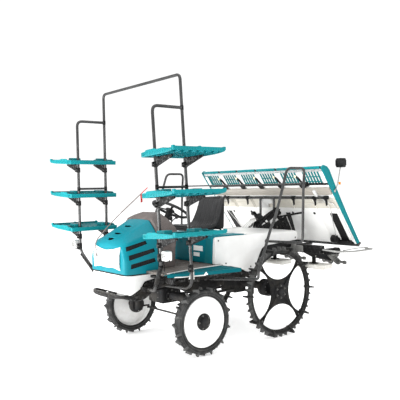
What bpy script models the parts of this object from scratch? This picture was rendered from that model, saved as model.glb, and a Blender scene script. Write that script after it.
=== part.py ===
"""Six-row ride-on rice transplanter, at full size.

Metres, +Z up, +X ahead, +Y to the machine's left. Places are measured from the rear axle's
centre line on the ground, and the whole machine hangs from an empty that puts the middle of its
length over the origin. Each object is one real piece; a moving piece is placed about its joint.
"""

import math

import bmesh
import bpy
from mathutils import Matrix, Vector

# Overall reach, from the rear axle
FRONT_REACH = 1.745
TAIL_REACH = 1.070
SEAT_GAP = 0.0003
RUNNING_GAP = 0.006

# Running gear
WHEELBASE = 1.055
FRONT_HALF_TRACK = 0.622
REAR_HALF_TRACK = 0.619
FRONT_TIP_RADIUS = 0.325
FRONT_TYRE_RADIUS = 0.303
FRONT_RIM_RADIUS = 0.240
FRONT_TYRE_WIDTH = 0.096
FRONT_LUGS = 24
FRONT_LUG_WIDTH = 0.062
FRONT_LUG_THICKNESS = 0.018
FRONT_LUG_YAW = math.radians(24)
FRONT_DISC_OFFSET = 0.040
FRONT_DISC_WALL = 0.008
FRONT_DISH = 0.030
FRONT_HUB_RADIUS = 0.070
REAR_TIP_RADIUS = 0.475
REAR_TYRE_RADIUS = 0.444
REAR_RIM_RADIUS = 0.408
REAR_TYRE_WIDTH = 0.056
REAR_LUG_STEPS = 24
REAR_TOOTH_HEIGHT = 0.018
REAR_TOOTH_THICKNESS = 0.022
PADDLES = 8
PADDLE_WIDTH = 0.150
PADDLE_THICKNESS = 0.020
WEB_THICKNESS = 0.010
WEB_GAP_RADIUS = 0.272
WEB_GAP_DISTANCE = 0.400
HUB_RADIUS = 0.050
RING_STEPS = 36
REAR_RING_STEPS = 40

# Axles and steering
KINGPIN_Y = 0.480
KINGPIN_RADIUS = 0.045
KINGPIN_FACE = 0.460
FRONT_BEAM_Z = 0.510
FRONT_BEAM_RADIUS = 0.040
FRONT_HOUSING = (0.215, 0.260)
STUB_RADIUS = 0.034
FRONT_STUB_END = 0.560
STEER_ARM_LENGTH = 0.130
STEER_ARM_RISE = 0.300
TIE_ROD_RADIUS = 0.010
REAR_BEAM_RADIUS = 0.042
REAR_BEAM_AHEAD = 0.070
REAR_CASE_RADIUS = 0.090
REAR_CASE_INNER = 0.400
REAR_CASE_OUTER = 0.515
REAR_STUB_END = 0.560
STAY_RADIUS = 0.014
STAY_Y = 0.100
STEERING_WHEEL_RADIUS = 0.190
STEERING_GRIP_RADIUS = 0.013
STEERING_TILT = math.radians(28)
STEERING_CENTRE = (0.950, 1.365)
COLUMN_RADIUS = 0.026
COLUMN_LENGTH = 0.240

# Frame
RAIL_Y = 0.200
RAIL_WIDTH = 0.050
RAIL_BOTTOM = 0.600
RAIL_TOP = 0.690
RAIL_FRONT = 1.620
RAIL_REAR = -0.040
CROSS_TUBE_RADIUS = 0.020
CROSS_TUBES = (0.450, 0.900, 1.300)
FRONT_CROSS_X = 1.510
FRONT_CROSS_Z = 0.655
FRONT_CROSS_HALF = 0.440
BUMPER_RADIUS = 0.016
BUMPER_Z = 0.585
BUMPER_HALF_WIDTH = 0.300
BLOCK_HALF_WIDTH = 0.190
ENGINE_REAR = 1.370
ENGINE_FRONT = 1.640
ENGINE_SHOULDER = 0.960
ENGINE_TOP = 1.060
ENGINE_HEAD_INSET = 0.040
GEARBOX_REAR = 0.940
GEARBOX_FRONT = 1.330

# Body
DECK_TOP = 0.820
DECK_THICKNESS = 0.022
DECK_REAR = 0.700
DECK_FRONT = 1.490
SEAT_BOX_REAR = 0.300
SEAT_BOX_FRONT = 0.768
FENDER_NOSE = 0.784
FENDER_TAIL = 0.985
STEP_TOP = 0.812
STEP_THICKNESS = 0.034
HOOD_FRONT = 1.700
HOOD_REAR = 1.340
HOOD_BOTTOM = 0.790
HOOD_WALL = 0.006
HOOD_HALF_WIDTH = 0.335
SKIRT_TOP = 0.784
SKIRT_HALF_WIDTH = 0.339
HINGE_Y = 0.200
SKIRT_REAR = 1.360
SKIRT_BOTTOM = 0.600
SKIRT_WALL = 0.008
DASH_HALF_WIDTH = 0.300
DASH_REAR = 1.085
COVER_TOP = 1.090
COVER_REAR = -0.420
COVER_HALF_WIDTH = 0.500
COVER_WALL = 0.022
FENDER_WALL = 0.045
SEAT_HALF_WIDTH = 0.220
PANEL_GAP = 0.006

# Spare seedling racks
POST_RADIUS = 0.0125
POST_FRONT_X = 1.604
POST_REAR_X = 1.2825
POST_Y = 0.735
POST_LEVEL = 1.300
LEAN_AHEAD = 0.0235
LEAN_INWARD = 0.0365
RACK_HEIGHT = 2.606
LOOP_DROP = 0.303
RACK_RAIL_HEIGHT = 1.594
RACK_BEND = 0.050
LOW_SHELF = 1.150
TOP_SHELF = RACK_HEIGHT - 0.756
SHELF_LEVELS = (LOW_SHELF, (LOW_SHELF + TOP_SHELF) / 2, TOP_SHELF)
SHELF_REAR = 1.180
SHELF_FRONT = 1.740
SHELF_INNER = 0.665
SHELF_OUTER = 1.150
SHELF_SLOPE = 0.060
SHELF_THICKNESS = 0.020
SHELF_RIM_HEIGHT = 0.022
SHELF_RIM_WIDTH = 0.014
SHELF_TIP = 0.120
SHELF_TIP_RISE = 0.016
BRACKET_THICKNESS = 0.018
BRACKET_REACH = 0.250
BRACKET_DEPTH = 0.084

# Work lamps on the front posts
LAMP_SIZE = (0.075, 0.070, 0.088)
LAMP_Y = 0.805
LAMP_BOTTOM = 0.962

# Rear hand rails
HAND_RAIL_Y = 1.000
HAND_RAIL_RADIUS = 0.0135
HAND_RAIL_TOP = 1.758
CROSS_BAR = (0.045, 1.605)
CROSS_BAR_RADIUS = 0.008

# Sighting rod on the hood's front
MARKER_PIVOT = (1.722, -0.175, 0.930)
MARKER_BARREL = 0.0065
MARKER_EAR = 0.006
MARKER_HALF = 0.012

# Lift linkage
LINK_LENGTH = 0.520
LINK_RAISED = math.radians(58)
LINK_PIVOT = (-0.020, 0.420)
LINK_SPREAD = 0.160
LINK_BOSS_RADIUS = 0.022
LINK_TUBE_RADIUS = 0.014
HITCH_PLATE_Y = 0.160
HITCH_PLATE_WALL = 0.016

# Planting unit, as it hangs when raised
BEAM_FRONT = -0.335
BEAM_REAR = -0.420
BEAM_HALF_WIDTH = 0.880
BEAM_BOTTOM = 0.862
BEAM_TOP = 0.945
CASE_PLACES = (("left", 0.600), ("middle", 0.000), ("right", -0.600))
CASE_WIDTH = 0.060
CASE_END_RADIUS = 0.048
ROTOR_X = -0.860
ROTOR_Z = 0.755
ROTOR_SHAFT_RADIUS = 0.015
ROTOR_ARM_RADIUS = 0.085
ROTOR_END_RADIUS = 0.034
ROTOR_CARRIER = 0.030
CLAW_REACH = 0.130
ROW_OFFSET = 0.150
FLOAT_BOTTOM = 0.665
FLOAT_TOP = 0.715
FLOAT_FRONT = -0.430
FLOAT_REAR = -0.700
FLOAT_HALF_WIDTH = 0.185
FLOAT_NOSE_RADIUS = 0.110
FLOAT_TAIL_RADIUS = 0.060
SUPPORT_Y = 0.300
SUPPORT_RADIUS = 0.016
ARM_Z = 0.900
MAST_Y = 0.110
GUARD_Y = 1.040
GUARD_RADIUS = 0.010
GUARD_Z = 0.870

# Seedling table, leaning with its top ahead
TABLE_FOOT = (-0.864, 0.936)
TABLE_TOP = (-0.262, 1.775)
TABLE_HALF_WIDTH = 0.985
TABLE_SIDE_WALL = 0.022
TABLE_BOARD = 0.018
TABLE_BOARD_LENGTH = 0.790
LANES = 6
RIB_WIDTH = 0.012
RIB_HEIGHT = 0.035
SLATS_PER_LANE = 4
SLAT_WIDTH = 0.012
HEAD_TUBE_INSET = 0.085
REAR_LAMP_STEM = 0.006

MIDDLE_X = (FRONT_REACH - TAIL_REACH) / 2

FINISHES = {
    # name: (red, green, blue, roughness, metallic)
    "teal": (0.000, 0.300, 0.320, 0.40, 0.0),
    "white": (0.780, 0.780, 0.760, 0.40, 0.0),
    "black": (0.020, 0.020, 0.022, 0.50, 0.3),
    "rubber": (0.018, 0.018, 0.018, 0.85, 0.0),
    "mat": (0.085, 0.070, 0.062, 0.80, 0.0),
    "vinyl": (0.030, 0.030, 0.034, 0.60, 0.0),
    "cast": (0.060, 0.060, 0.065, 0.60, 0.6),
    "steel": (0.450, 0.450, 0.440, 0.35, 1.0),
    "lamp": (0.700, 0.720, 0.740, 0.15, 0.0),
    "red": (0.600, 0.020, 0.020, 0.50, 0.0),
}

for old in list(bpy.data.objects):
    bpy.data.objects.remove(old)

MODEL = bpy.data.collections.new("rice_transplanter")
GUIDES = bpy.data.collections.new("cutters")
for group in (MODEL, GUIDES):
    bpy.context.scene.collection.children.link(group)


def holder(name, place, parent=None):
    """An empty on a joint's axis, for the pieces that turn or slide there."""
    made = bpy.data.objects.new(name, None)
    MODEL.objects.link(made)
    made.parent = parent
    made.location = place
    return made


def finish(name):
    """A plain painted, moulded or metal surface from the table above."""
    found = bpy.data.materials.get(name)
    if found:
        return found
    red, green, blue, roughness, metallic = FINISHES[name]
    made = bpy.data.materials.new(name)
    made.use_nodes = True
    shader = made.node_tree.nodes["Principled BSDF"]
    shader.inputs["Base Color"].default_value = (red, green, blue, 1)
    shader.inputs["Roughness"].default_value = roughness
    shader.inputs["Metallic"].default_value = metallic
    return made


def as_object(mesh):
    """A mesh on the bench, before it is joined or cut."""
    made = bpy.data.objects.new("piece", mesh)
    GUIDES.objects.link(made)
    return made


def from_bmesh(shape):
    """A bench object from a bmesh."""
    mesh = bpy.data.meshes.new("piece")
    shape.to_mesh(mesh)
    shape.free()
    return as_object(mesh)


def baked(source):
    """The evaluated mesh of a curve or of an object with modifiers, welded, in machine axes."""
    graph = bpy.context.evaluated_depsgraph_get()
    mesh = bpy.data.meshes.new_from_object(source.evaluated_get(graph))
    mesh.transform(source.matrix_world)
    shape = bmesh.new()
    shape.from_mesh(mesh)
    bmesh.ops.remove_doubles(shape, verts=shape.verts, dist=0.00002)
    shape.to_mesh(mesh)
    shape.free()
    bpy.data.objects.remove(source)
    return as_object(mesh)


def outward(piece):
    """The closed piece with all its faces turned out."""
    shape = bmesh.new()
    shape.from_mesh(piece.data)
    bmesh.ops.recalc_face_normals(shape, faces=shape.faces)
    shape.to_mesh(piece.data)
    shape.free()
    return piece


def bar(low, high):
    """A box between two corners."""
    shape = bmesh.new()
    size = Vector(high) - Vector(low)
    middle = (Vector(high) + Vector(low)) / 2
    grow = Matrix.Translation(middle) @ Matrix.Diagonal((size.x, size.y, size.z, 1))
    bmesh.ops.create_cube(shape, size=1, matrix=grow)
    return from_bmesh(shape)


def rod(start, end, radius, tip_radius=None, steps=12, turn=0.0):
    """A round bar or a cone between two points."""
    start, end = Vector(start), Vector(end)
    along = end - start
    spin = Vector((0, 0, 1)).rotation_difference(along).to_matrix().to_4x4()
    place = Matrix.Translation((start + end) / 2) @ spin @ Matrix.Rotation(turn, 4, "Z")
    shape = bmesh.new()
    bmesh.ops.create_cone(
        shape, cap_ends=True, segments=steps, radius1=radius,
        radius2=radius if tip_radius is None else tip_radius, depth=along.length, matrix=place)
    return from_bmesh(shape)


def cross_rod(x, z, low, high, radius, steps=12):
    """A round bar across the machine."""
    return rod((x, low, z), (x, high, z), radius, steps=steps)


PLANES = {
    # plane of the outline: columns of the matrix that stands it there
    "xz": ((1, 0, 0), (0, 0, 1), (0, -1, 0)),
    "xy": ((1, 0, 0), (0, 1, 0), (0, 0, 1)),
    "yz": ((0, 1, 0), (0, 0, 1), (1, 0, 0)),
}


def plate(outlines, low, high, plane="xz"):
    """A flat outline, with any holes as further outlines, between two levels across its plane."""
    curve = bpy.data.curves.new("outline", "CURVE")
    curve.dimensions = "2D"
    curve.fill_mode = "BOTH"
    curve.extrude = (high - low) / 2
    for outline in outlines:
        spline = curve.splines.new("POLY")
        spline.points.add(len(outline) - 1)
        for point, (across, up) in zip(spline.points, outline):
            point.co = (across, up, 0, 1)
        spline.use_cyclic_u = True
    made = bpy.data.objects.new("outline", curve)
    GUIDES.objects.link(made)
    first, second, third = (Vector(column) for column in PLANES[plane])
    stand = Matrix.Identity(4)
    for row in range(3):
        stand[row][0], stand[row][1], stand[row][2] = first[row], second[row], third[row]
    middle = (low + high) / 2
    normal = Vector((abs(third.x), abs(third.y), abs(third.z)))
    made.matrix_world = Matrix.Translation(normal * middle) @ stand
    return outward(baked(made))


def arc(centre, radius, start, end, steps):
    """Points round an arc, angles in degrees."""
    turns = [math.radians(start + (end - start) * step / steps) for step in range(steps + 1)]
    return [(centre[0] + radius * math.cos(t), centre[1] + radius * math.sin(t)) for t in turns]


def rounded(corners, bend, steps=2):
    """A bent route: straight runs with each inner corner taken round."""
    route = [Vector(corners[0])]
    for before, corner, after in zip(corners, corners[1:], corners[2:]):
        before, corner, after = Vector(before), Vector(corner), Vector(after)
        back, ahead = (before - corner), (after - corner)
        trim = min(bend, back.length * 0.45, ahead.length * 0.45)
        start = corner + back.normalized() * trim
        end = corner + ahead.normalized() * trim
        for step in range(steps + 1):
            share = step / steps
            route.append(start.lerp(corner, share).lerp(corner.lerp(end, share), share))
    route.append(Vector(corners[-1]))
    return route


def pipe(corners, radius, bend=RACK_BEND, steps=2, closed=False):
    """A bent tube through corners."""
    route = [Vector(corner) for corner in corners] if closed else rounded(corners, bend, steps)
    curve = bpy.data.curves.new("tube", "CURVE")
    curve.dimensions = "3D"
    curve.bevel_depth = radius
    curve.bevel_resolution = 2
    curve.use_fill_caps = not closed
    spline = curve.splines.new("POLY")
    spline.points.add(len(route) - 1)
    for point, place in zip(spline.points, route):
        point.co = (*place, 1)
    spline.use_cyclic_u = closed
    made = bpy.data.objects.new("tube", curve)
    GUIDES.objects.link(made)
    return baked(made)


def combined(base, other, operation):
    """Base joined with, or cut by, the other piece."""
    step = base.modifiers.new("step", "BOOLEAN")
    step.operation = operation
    step.solver = "EXACT"
    step.object = other
    made = baked(base)
    bpy.data.objects.remove(other)
    return made


def fused(pieces):
    """One closed body from pieces that run into each other."""
    base = pieces[0]
    for other in pieces[1:]:
        base = combined(base, other, "UNION")
    return base


def gathered(pieces):
    """Pieces that don't touch each other as one mesh, for a single join or cut."""
    shape = bmesh.new()
    for piece in pieces:
        shape.from_mesh(piece.data)
        bpy.data.objects.remove(piece)
    return from_bmesh(shape)


def cut(base, cutters):
    """Base less its cutters."""
    for cutter in cutters:
        base = combined(base, cutter, "DIFFERENCE")
    return base


def mirrored(piece):
    """The same piece on the other side of the machine."""
    shape = bmesh.new()
    shape.from_mesh(piece.data)
    bmesh.ops.scale(shape, vec=(1, -1, 1), verts=shape.verts)
    bmesh.ops.reverse_faces(shape, faces=shape.faces)
    return from_bmesh(shape)


def both_sides(make):
    """The left piece that a function makes, and its mirror."""
    left = make()
    return [left, mirrored(left)]


def smooth(mesh):
    """Round faces shaded smooth up to a sharp edge."""
    mesh.shade_smooth()
    mesh.set_sharp_from_angle(angle=math.radians(32))


def keep(name, piece, surface, parent, about=(0, 0, 0)):
    """Names a finished piece, paints it and hangs it from its parent, with its origin at about."""
    mesh = piece.data
    bpy.data.objects.remove(piece)
    mesh.transform(Matrix.Translation(-Vector(about)))
    mesh.name = name
    mesh.materials.clear()
    mesh.materials.append(finish(surface))
    smooth(mesh)
    made = bpy.data.objects.new(name, mesh)
    MODEL.objects.link(made)
    made.parent = parent
    return made


def turned(profile, centre_y, x, z, steps=RING_STEPS):
    """A profile of (radius, offset across) turned about an axis that runs across the machine."""
    mesh = bpy.data.meshes.new("profile")
    count = len(profile)
    points = [(radius, 0, offset) for radius, offset in profile]
    edges = [(index, (index + 1) % count) for index in range(count)]
    mesh.from_pydata(points, edges, [])
    piece = as_object(mesh)
    screw = piece.modifiers.new("turn", "SCREW")
    screw.axis = "Z"
    screw.steps = steps
    screw.render_steps = steps
    screw.use_merge_vertices = True
    screw.merge_threshold = 0.00001
    piece.matrix_world = (
        Matrix.Translation((x, centre_y, z)) @ Matrix.Rotation(math.radians(-90), 4, "X"))
    return outward(baked(piece))


def lug(centre, turn, low, high, width, thickness, yaw, offset):
    """One lug: a block set across the tread at a turn about the axle."""
    shape = bmesh.new()
    grow = Matrix.Diagonal((thickness, width, high - low, 1))
    place = (
        Matrix.Translation(centre) @ Matrix.Rotation(turn, 4, "Y")
        @ Matrix.Translation((0, offset, (low + high) / 2)) @ Matrix.Rotation(yaw, 4, "Z") @ grow)
    bmesh.ops.create_cube(shape, size=1, matrix=place)
    return from_bmesh(shape)


def front_tyre(side):
    """Narrow front tyre with slanted lugs, left and right by turns."""
    centre = (WHEELBASE, side * FRONT_HALF_TRACK, FRONT_TIP_RADIUS)
    half, crown = FRONT_TYRE_WIDTH / 2, FRONT_TYRE_WIDTH * 0.30
    shoulder = FRONT_TYRE_RADIUS - 0.014
    bead = FRONT_RIM_RADIUS
    profile = (
        (bead, -half * 0.62), (bead + 0.020, -half), (shoulder, -half), (FRONT_TYRE_RADIUS, -crown),
        (FRONT_TYRE_RADIUS, crown), (shoulder, half), (bead + 0.020, half), (bead, half * 0.62))
    ring = turned(profile, centre[1], centre[0], centre[2])
    lugs = []
    for index in range(FRONT_LUGS):
        hand = 1 if index % 2 else -1
        turn = math.pi + 2 * math.pi * index / FRONT_LUGS
        reach = FRONT_TYRE_WIDTH / 2 - FRONT_LUG_WIDTH / 2 + 0.004
        lugs.append(lug(
            centre, turn, FRONT_TYRE_RADIUS - 0.020, FRONT_TIP_RADIUS, FRONT_LUG_WIDTH,
            FRONT_LUG_THICKNESS, hand * FRONT_LUG_YAW, hand * reach))
    return combined(ring, gathered(lugs), "UNION")


def front_disc(side):
    """Dished front wheel disc with its hub, seated on the final case's face."""
    outer = FRONT_RIM_RADIUS - SEAT_GAP
    face = FRONT_DISC_OFFSET
    back = face - FRONT_DISC_WALL
    inner_end = FRONT_STUB_END + SEAT_GAP - FRONT_HALF_TRACK
    lip = FRONT_TYRE_WIDTH / 2 * 0.62
    profile = (
        (0.0, inner_end), (STUB_RADIUS, inner_end), (STUB_RADIUS, back - FRONT_DISH),
        (outer * 0.86, back - 0.004), (outer - 0.006, -lip), (outer, -lip), (outer, face - 0.004),
        (outer * 0.90, face), (FRONT_HUB_RADIUS, face - FRONT_DISH * 0.6),
        (FRONT_HUB_RADIUS, face + 0.010), (0.0, face + 0.012))
    across = [(radius, side * offset) for radius, offset in profile]
    return turned(across, side * FRONT_HALF_TRACK, WHEELBASE, FRONT_TIP_RADIUS)


def rear_tyre(side):
    """Thin rubber-covered ring with small teeth and broad paddles."""
    centre = (0, side * REAR_HALF_TRACK, REAR_TIP_RADIUS)
    half = REAR_TYRE_WIDTH / 2
    profile = (
        (REAR_RIM_RADIUS, -half * 0.5), (REAR_TYRE_RADIUS, -half), (REAR_TYRE_RADIUS, half),
        (REAR_RIM_RADIUS, half * 0.5))
    ring = turned(profile, centre[1], centre[0], centre[2], steps=REAR_RING_STEPS)
    lugs = []
    for index in range(REAR_LUG_STEPS):
        turn = math.pi + 2 * math.pi * index / REAR_LUG_STEPS
        broad = index % (REAR_LUG_STEPS // PADDLES) == 0
        high = REAR_TIP_RADIUS if broad else REAR_TYRE_RADIUS + REAR_TOOTH_HEIGHT
        lugs.append(lug(
            centre, turn, REAR_TYRE_RADIUS - 0.022, high,
            PADDLE_WIDTH if broad else REAR_TYRE_WIDTH * 0.86,
            PADDLE_THICKNESS if broad else REAR_TOOTH_THICKNESS, 0, 0))
    return combined(ring, gathered(lugs), "UNION")


def rear_web(side):
    """Rear wheel's cross-shaped plate, open between its four arms, with the hub on its middle."""
    y = side * REAR_HALF_TRACK
    half = WEB_THICKNESS / 2
    rim = REAR_RIM_RADIUS - SEAT_GAP
    disc = cross_rod(0, REAR_TIP_RADIUS, y - half, y + half, rim, steps=REAR_RING_STEPS)
    gaps = []
    for quarter in range(4):
        turn = math.radians(90 * quarter)
        x = WEB_GAP_DISTANCE * math.cos(turn)
        z = REAR_TIP_RADIUS + WEB_GAP_DISTANCE * math.sin(turn)
        gaps.append(cross_rod(x, z, y - 2 * half, y + 2 * half, WEB_GAP_RADIUS, steps=32))
    web = cut(disc, gaps)
    start = side * (REAR_STUB_END + SEAT_GAP)
    end = side * (REAR_HALF_TRACK + 0.040)
    hub = cross_rod(0, REAR_TIP_RADIUS, min(start, end), max(start, end), HUB_RADIUS)
    return fused([web, hub])


def running_gear(machine, knuckles):
    """Wheels on their axles."""
    for name, side in (("left", 1), ("right", -1)):
        outboard = side * (FRONT_HALF_TRACK - KINGPIN_Y)
        spin = holder(f"front_axis_{name}", (0, outboard, 0), knuckles[name])
        about = (WHEELBASE, side * FRONT_HALF_TRACK, FRONT_TIP_RADIUS)
        keep(f"front_tyre_{name}", front_tyre(side), "rubber", spin, about)
        keep(f"front_disc_{name}", front_disc(side), "white", spin, about)
        about = (0, side * REAR_HALF_TRACK, REAR_TIP_RADIUS)
        spin = holder(f"rear_axis_{name}", about, machine)
        keep(f"rear_tyre_{name}", rear_tyre(side), "rubber", spin, about)
        keep(f"rear_web_{name}", rear_web(side), "black", spin, about)


def knuckle(side):
    """Front final case: it turns under the axle's end and carries the wheel's stub and arm."""
    y = side * KINGPIN_Y
    low = FRONT_TIP_RADIUS - 0.055
    leg = rod((WHEELBASE, y, low), (WHEELBASE, y, KINGPIN_FACE - SEAT_GAP), KINGPIN_RADIUS, 0.040, 16)
    stub_low, stub_high = sorted((y, side * FRONT_STUB_END))
    stub = cross_rod(WHEELBASE, FRONT_TIP_RADIUS, stub_low, stub_high, STUB_RADIUS)
    arm_end = WHEELBASE - STEER_ARM_LENGTH
    arm = bar(
        (arm_end - 0.018, y - 0.016, STEER_ARM_RISE), (WHEELBASE, y + 0.016, STEER_ARM_RISE + 0.014))
    return fused([leg, stub, arm])


def steering(machine):
    """Knuckles, and the rod that ties their arms."""
    knuckles = {}
    for name, side in (("left", 1), ("right", -1)):
        about = (WHEELBASE, side * KINGPIN_Y, FRONT_TIP_RADIUS)
        knuckles[name] = holder(f"steer_axis_{name}", about, machine)
        keep(f"knuckle_{name}", knuckle(side), "cast", knuckles[name], about)
    x, z = WHEELBASE - STEER_ARM_LENGTH, STEER_ARM_RISE
    about = (x, KINGPIN_Y, z)
    place = Vector(about) - Vector((WHEELBASE, KINGPIN_Y, FRONT_TIP_RADIUS))
    tie = holder("tie_rod_axis", place, knuckles["left"])
    top = z - SEAT_GAP
    level = top - 0.016
    pieces = [cross_rod(x, level, -KINGPIN_Y, KINGPIN_Y, TIE_ROD_RADIUS, steps=10)]
    for side in (1, -1):
        y = side * KINGPIN_Y
        pieces.append(rod((x, y, level - 0.014), (x, y, top), 0.014, steps=12))
    keep("tie_rod", fused(pieces), "black", tie, about)
    return knuckles


def front_axle():
    """Front axle: middle housing, beam and the heads that the knuckles turn in."""
    length, width = FRONT_HOUSING
    top = RAIL_BOTTOM - SEAT_GAP
    low = FRONT_BEAM_Z - 0.080
    pieces = [
        bar((WHEELBASE - length / 2, -width / 2, low), (WHEELBASE + length / 2, width / 2, top)),
        cross_rod(WHEELBASE, FRONT_BEAM_Z, -KINGPIN_Y, KINGPIN_Y, FRONT_BEAM_RADIUS)]
    for side in (1, -1):
        y = side * KINGPIN_Y
        head = FRONT_BEAM_Z + 0.052
        pieces.append(rod((WHEELBASE, y, KINGPIN_FACE), (WHEELBASE, y, head), 0.050, 0.044, 16))
    return fused(pieces)


def rear_axle():
    """Rear axle: middle case, cross tube, final cases and the stays that run ahead of it."""
    top = RAIL_BOTTOM - SEAT_GAP
    x, z = REAR_BEAM_AHEAD, REAR_TIP_RADIUS + 0.050
    pieces = [
        bar((0.012, -0.125, REAR_TIP_RADIUS - 0.060), (0.190, 0.125, top)),
        cross_rod(x, z, -REAR_CASE_INNER - 0.02, REAR_CASE_INNER + 0.02, REAR_BEAM_RADIUS)]
    for side in (1, -1):
        low, high = sorted((side * (RAIL_Y - 0.020), side * (RAIL_Y + 0.020)))
        pieces.append(bar((x - 0.035, low, z), (x + 0.035, high, top)))
        low, high = sorted((side * REAR_CASE_INNER, side * REAR_CASE_OUTER))
        pieces.append(cross_rod(x * 0.5, z - 0.02, low, high, REAR_CASE_RADIUS, steps=20))
        low, high = sorted((side * REAR_CASE_OUTER * 0.9, side * REAR_STUB_END))
        pieces.append(cross_rod(0, REAR_TIP_RADIUS, low, high, STUB_RADIUS + 0.008))
        ahead = WHEELBASE - FRONT_HOUSING[0] / 2 - SEAT_GAP
        y = side * STAY_Y
        pieces.append(rod((0.10, y, 0.46), (ahead, y, 0.46), STAY_RADIUS, steps=10))
    return fused(pieces)


def frame():
    """Main frame: two rails, cross tubes, bumper and the plates that the lift links swing on."""
    half = RAIL_WIDTH / 2
    pieces = both_sides(lambda: bar(
        (RAIL_REAR, RAIL_Y - half, RAIL_BOTTOM), (RAIL_FRONT, RAIL_Y + half, RAIL_TOP)))
    middle = (RAIL_BOTTOM + RAIL_TOP) / 2
    for x in CROSS_TUBES:
        pieces.append(cross_rod(x, middle, -RAIL_Y, RAIL_Y, CROSS_TUBE_RADIUS))
    pieces.append(cross_rod(
        FRONT_CROSS_X, FRONT_CROSS_Z, -FRONT_CROSS_HALF, FRONT_CROSS_HALF, CROSS_TUBE_RADIUS))
    reach = SKIRT_HALF_WIDTH - SKIRT_WALL - SEAT_GAP
    x, level = RAIL_FRONT - 0.030, RAIL_TOP - 0.035
    pieces += both_sides(lambda: bar((x, RAIL_Y, level), (x + 0.022, reach, level + 0.025)))
    half = [
        (1.420, RAIL_Y, BUMPER_Z + 0.040), (1.640, BUMPER_HALF_WIDTH - 0.03, BUMPER_Z),
        (FRONT_REACH - BUMPER_RADIUS, BUMPER_HALF_WIDTH - 0.09, BUMPER_Z)]
    pieces.append(pipe(half + [(px, -py, pz) for px, py, pz in reversed(half)], BUMPER_RADIUS))
    x, z = LINK_PIVOT
    inner, outer = HITCH_PLATE_Y, HITCH_PLATE_Y + HITCH_PLATE_WALL
    outline = (
        (x - 0.032, z - 0.032), (x + 0.034, z - 0.032), (x + 0.042, RAIL_TOP - 0.010),
        (x - 0.032, RAIL_TOP - 0.010))
    pieces += both_sides(lambda: plate([outline], inner, outer))
    return fused(pieces)


def engine():
    """Engine, as one block on the rails."""
    half = BLOCK_HALF_WIDTH
    base = bar((ENGINE_REAR, -half, RAIL_TOP + SEAT_GAP), (ENGINE_FRONT, half, ENGINE_SHOULDER))
    inset = ENGINE_HEAD_INSET
    low = (ENGINE_REAR + 0.75 * inset, inset - half, ENGINE_SHOULDER - 1.5 * inset)
    head = bar(low, (ENGINE_FRONT - inset, half - inset, ENGINE_TOP))
    return fused([base, head])


def gearbox():
    """Drive case on the rails, under the deck."""
    half, top = BLOCK_HALF_WIDTH, DECK_TOP - DECK_THICKNESS - SEAT_GAP
    return bar((GEARBOX_REAR, -half, RAIL_TOP + SEAT_GAP), (GEARBOX_FRONT, half, top))


HOOD_SECTIONS = (
    # x, half width at the foot, half width at the shoulder, shoulder height, crown height
    (HOOD_FRONT, 0.318, 0.262, 1.050, 1.078),
    (1.640, 0.330, 0.285, 1.092, 1.128),
    (1.520, HOOD_HALF_WIDTH, 0.296, 1.126, 1.196),
    (1.420, HOOD_HALF_WIDTH, 0.300, 1.150, 1.248),
    (HOOD_REAR, HOOD_HALF_WIDTH, 0.302, 1.168, 1.290),
)


def hood_ring(section):
    """One cross-section of the hood, foot to foot over the crown."""
    x, foot, shoulder, shoulder_z, crown_z = section
    half = (
        (foot, HOOD_BOTTOM), (foot, HOOD_BOTTOM + 0.12), (shoulder, shoulder_z),
        (shoulder * 0.62, crown_z - 0.008), (0, crown_z))
    right = [(x, -y, z) for y, z in half[:-1]]
    left = [(x, y, z) for y, z in reversed(half[:-1])]
    return right + [(x, 0, crown_z)] + left


HOOD_SLOTS = (
    # front x, front low z, front high z, rear x, rear low z, rear high z
    (1.672, 1.008, 1.050, 1.450, 1.060, 1.098),
    (1.660, 0.925, 0.972, 1.370, 0.982, 1.022),
    (1.646, 0.846, 0.890, 1.370, 0.888, 0.932),
)


def hood():
    """Hood: a lofted shell, open below and behind, with three louvre slots in each side."""
    shape = bmesh.new()
    rings = [[shape.verts.new(point) for point in hood_ring(section)] for section in HOOD_SECTIONS]
    for ahead, behind in zip(rings, rings[1:]):
        for index in range(len(ahead) - 1):
            shape.faces.new((ahead[index], ahead[index + 1], behind[index + 1], behind[index]))
    shape.faces.new(list(reversed(rings[0])))
    bmesh.ops.recalc_face_normals(shape, faces=shape.faces)
    shell = from_bmesh(shape)
    wall = shell.modifiers.new("wall", "SOLIDIFY")
    wall.thickness = HOOD_WALL
    wall.offset = -1
    wall.use_even_offset = True
    shell = baked(shell)
    slots = []
    for front, low, high, rear, rear_low, rear_high in HOOD_SLOTS:
        outline = ((front, low), (front, high), (rear, rear_high), (rear, rear_low))
        slots.append(plate([outline], -0.5, 0.5))
    return cut(shell, [gathered(slots)])


LAMP_PANEL_THICKNESS = 0.010
LAMP_PANEL = (
    # half of the outline on the hood's front face: y, z
    (0.000, 1.010), (0.090, 1.018), (0.250, 1.048), (0.205, 0.930), (0.240, 0.832), (0.090, 0.845),
    (0.000, 0.842),
)


def headlamp_panel():
    """Concave-sided lamp panel on the hood's front face, with the ears that the sighting rod turns in."""
    half = list(LAMP_PANEL)
    outline = half + [(-y, z) for y, z in reversed(half[1:-1])]
    start = HOOD_FRONT + SEAT_GAP
    pieces = [plate([outline], start, start + LAMP_PANEL_THICKNESS, "yz")]
    x, y, z = MARKER_PIVOT
    for side in (1, -1):
        near = y + side * (MARKER_HALF + SEAT_GAP)
        low, high = sorted((near, near + side * MARKER_EAR))
        half = MARKER_EAR * 2
        pieces.append(bar((start + 0.002, low, z - half), (x + MARKER_BARREL, high, z + half)))
    return fused(pieces)


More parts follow.
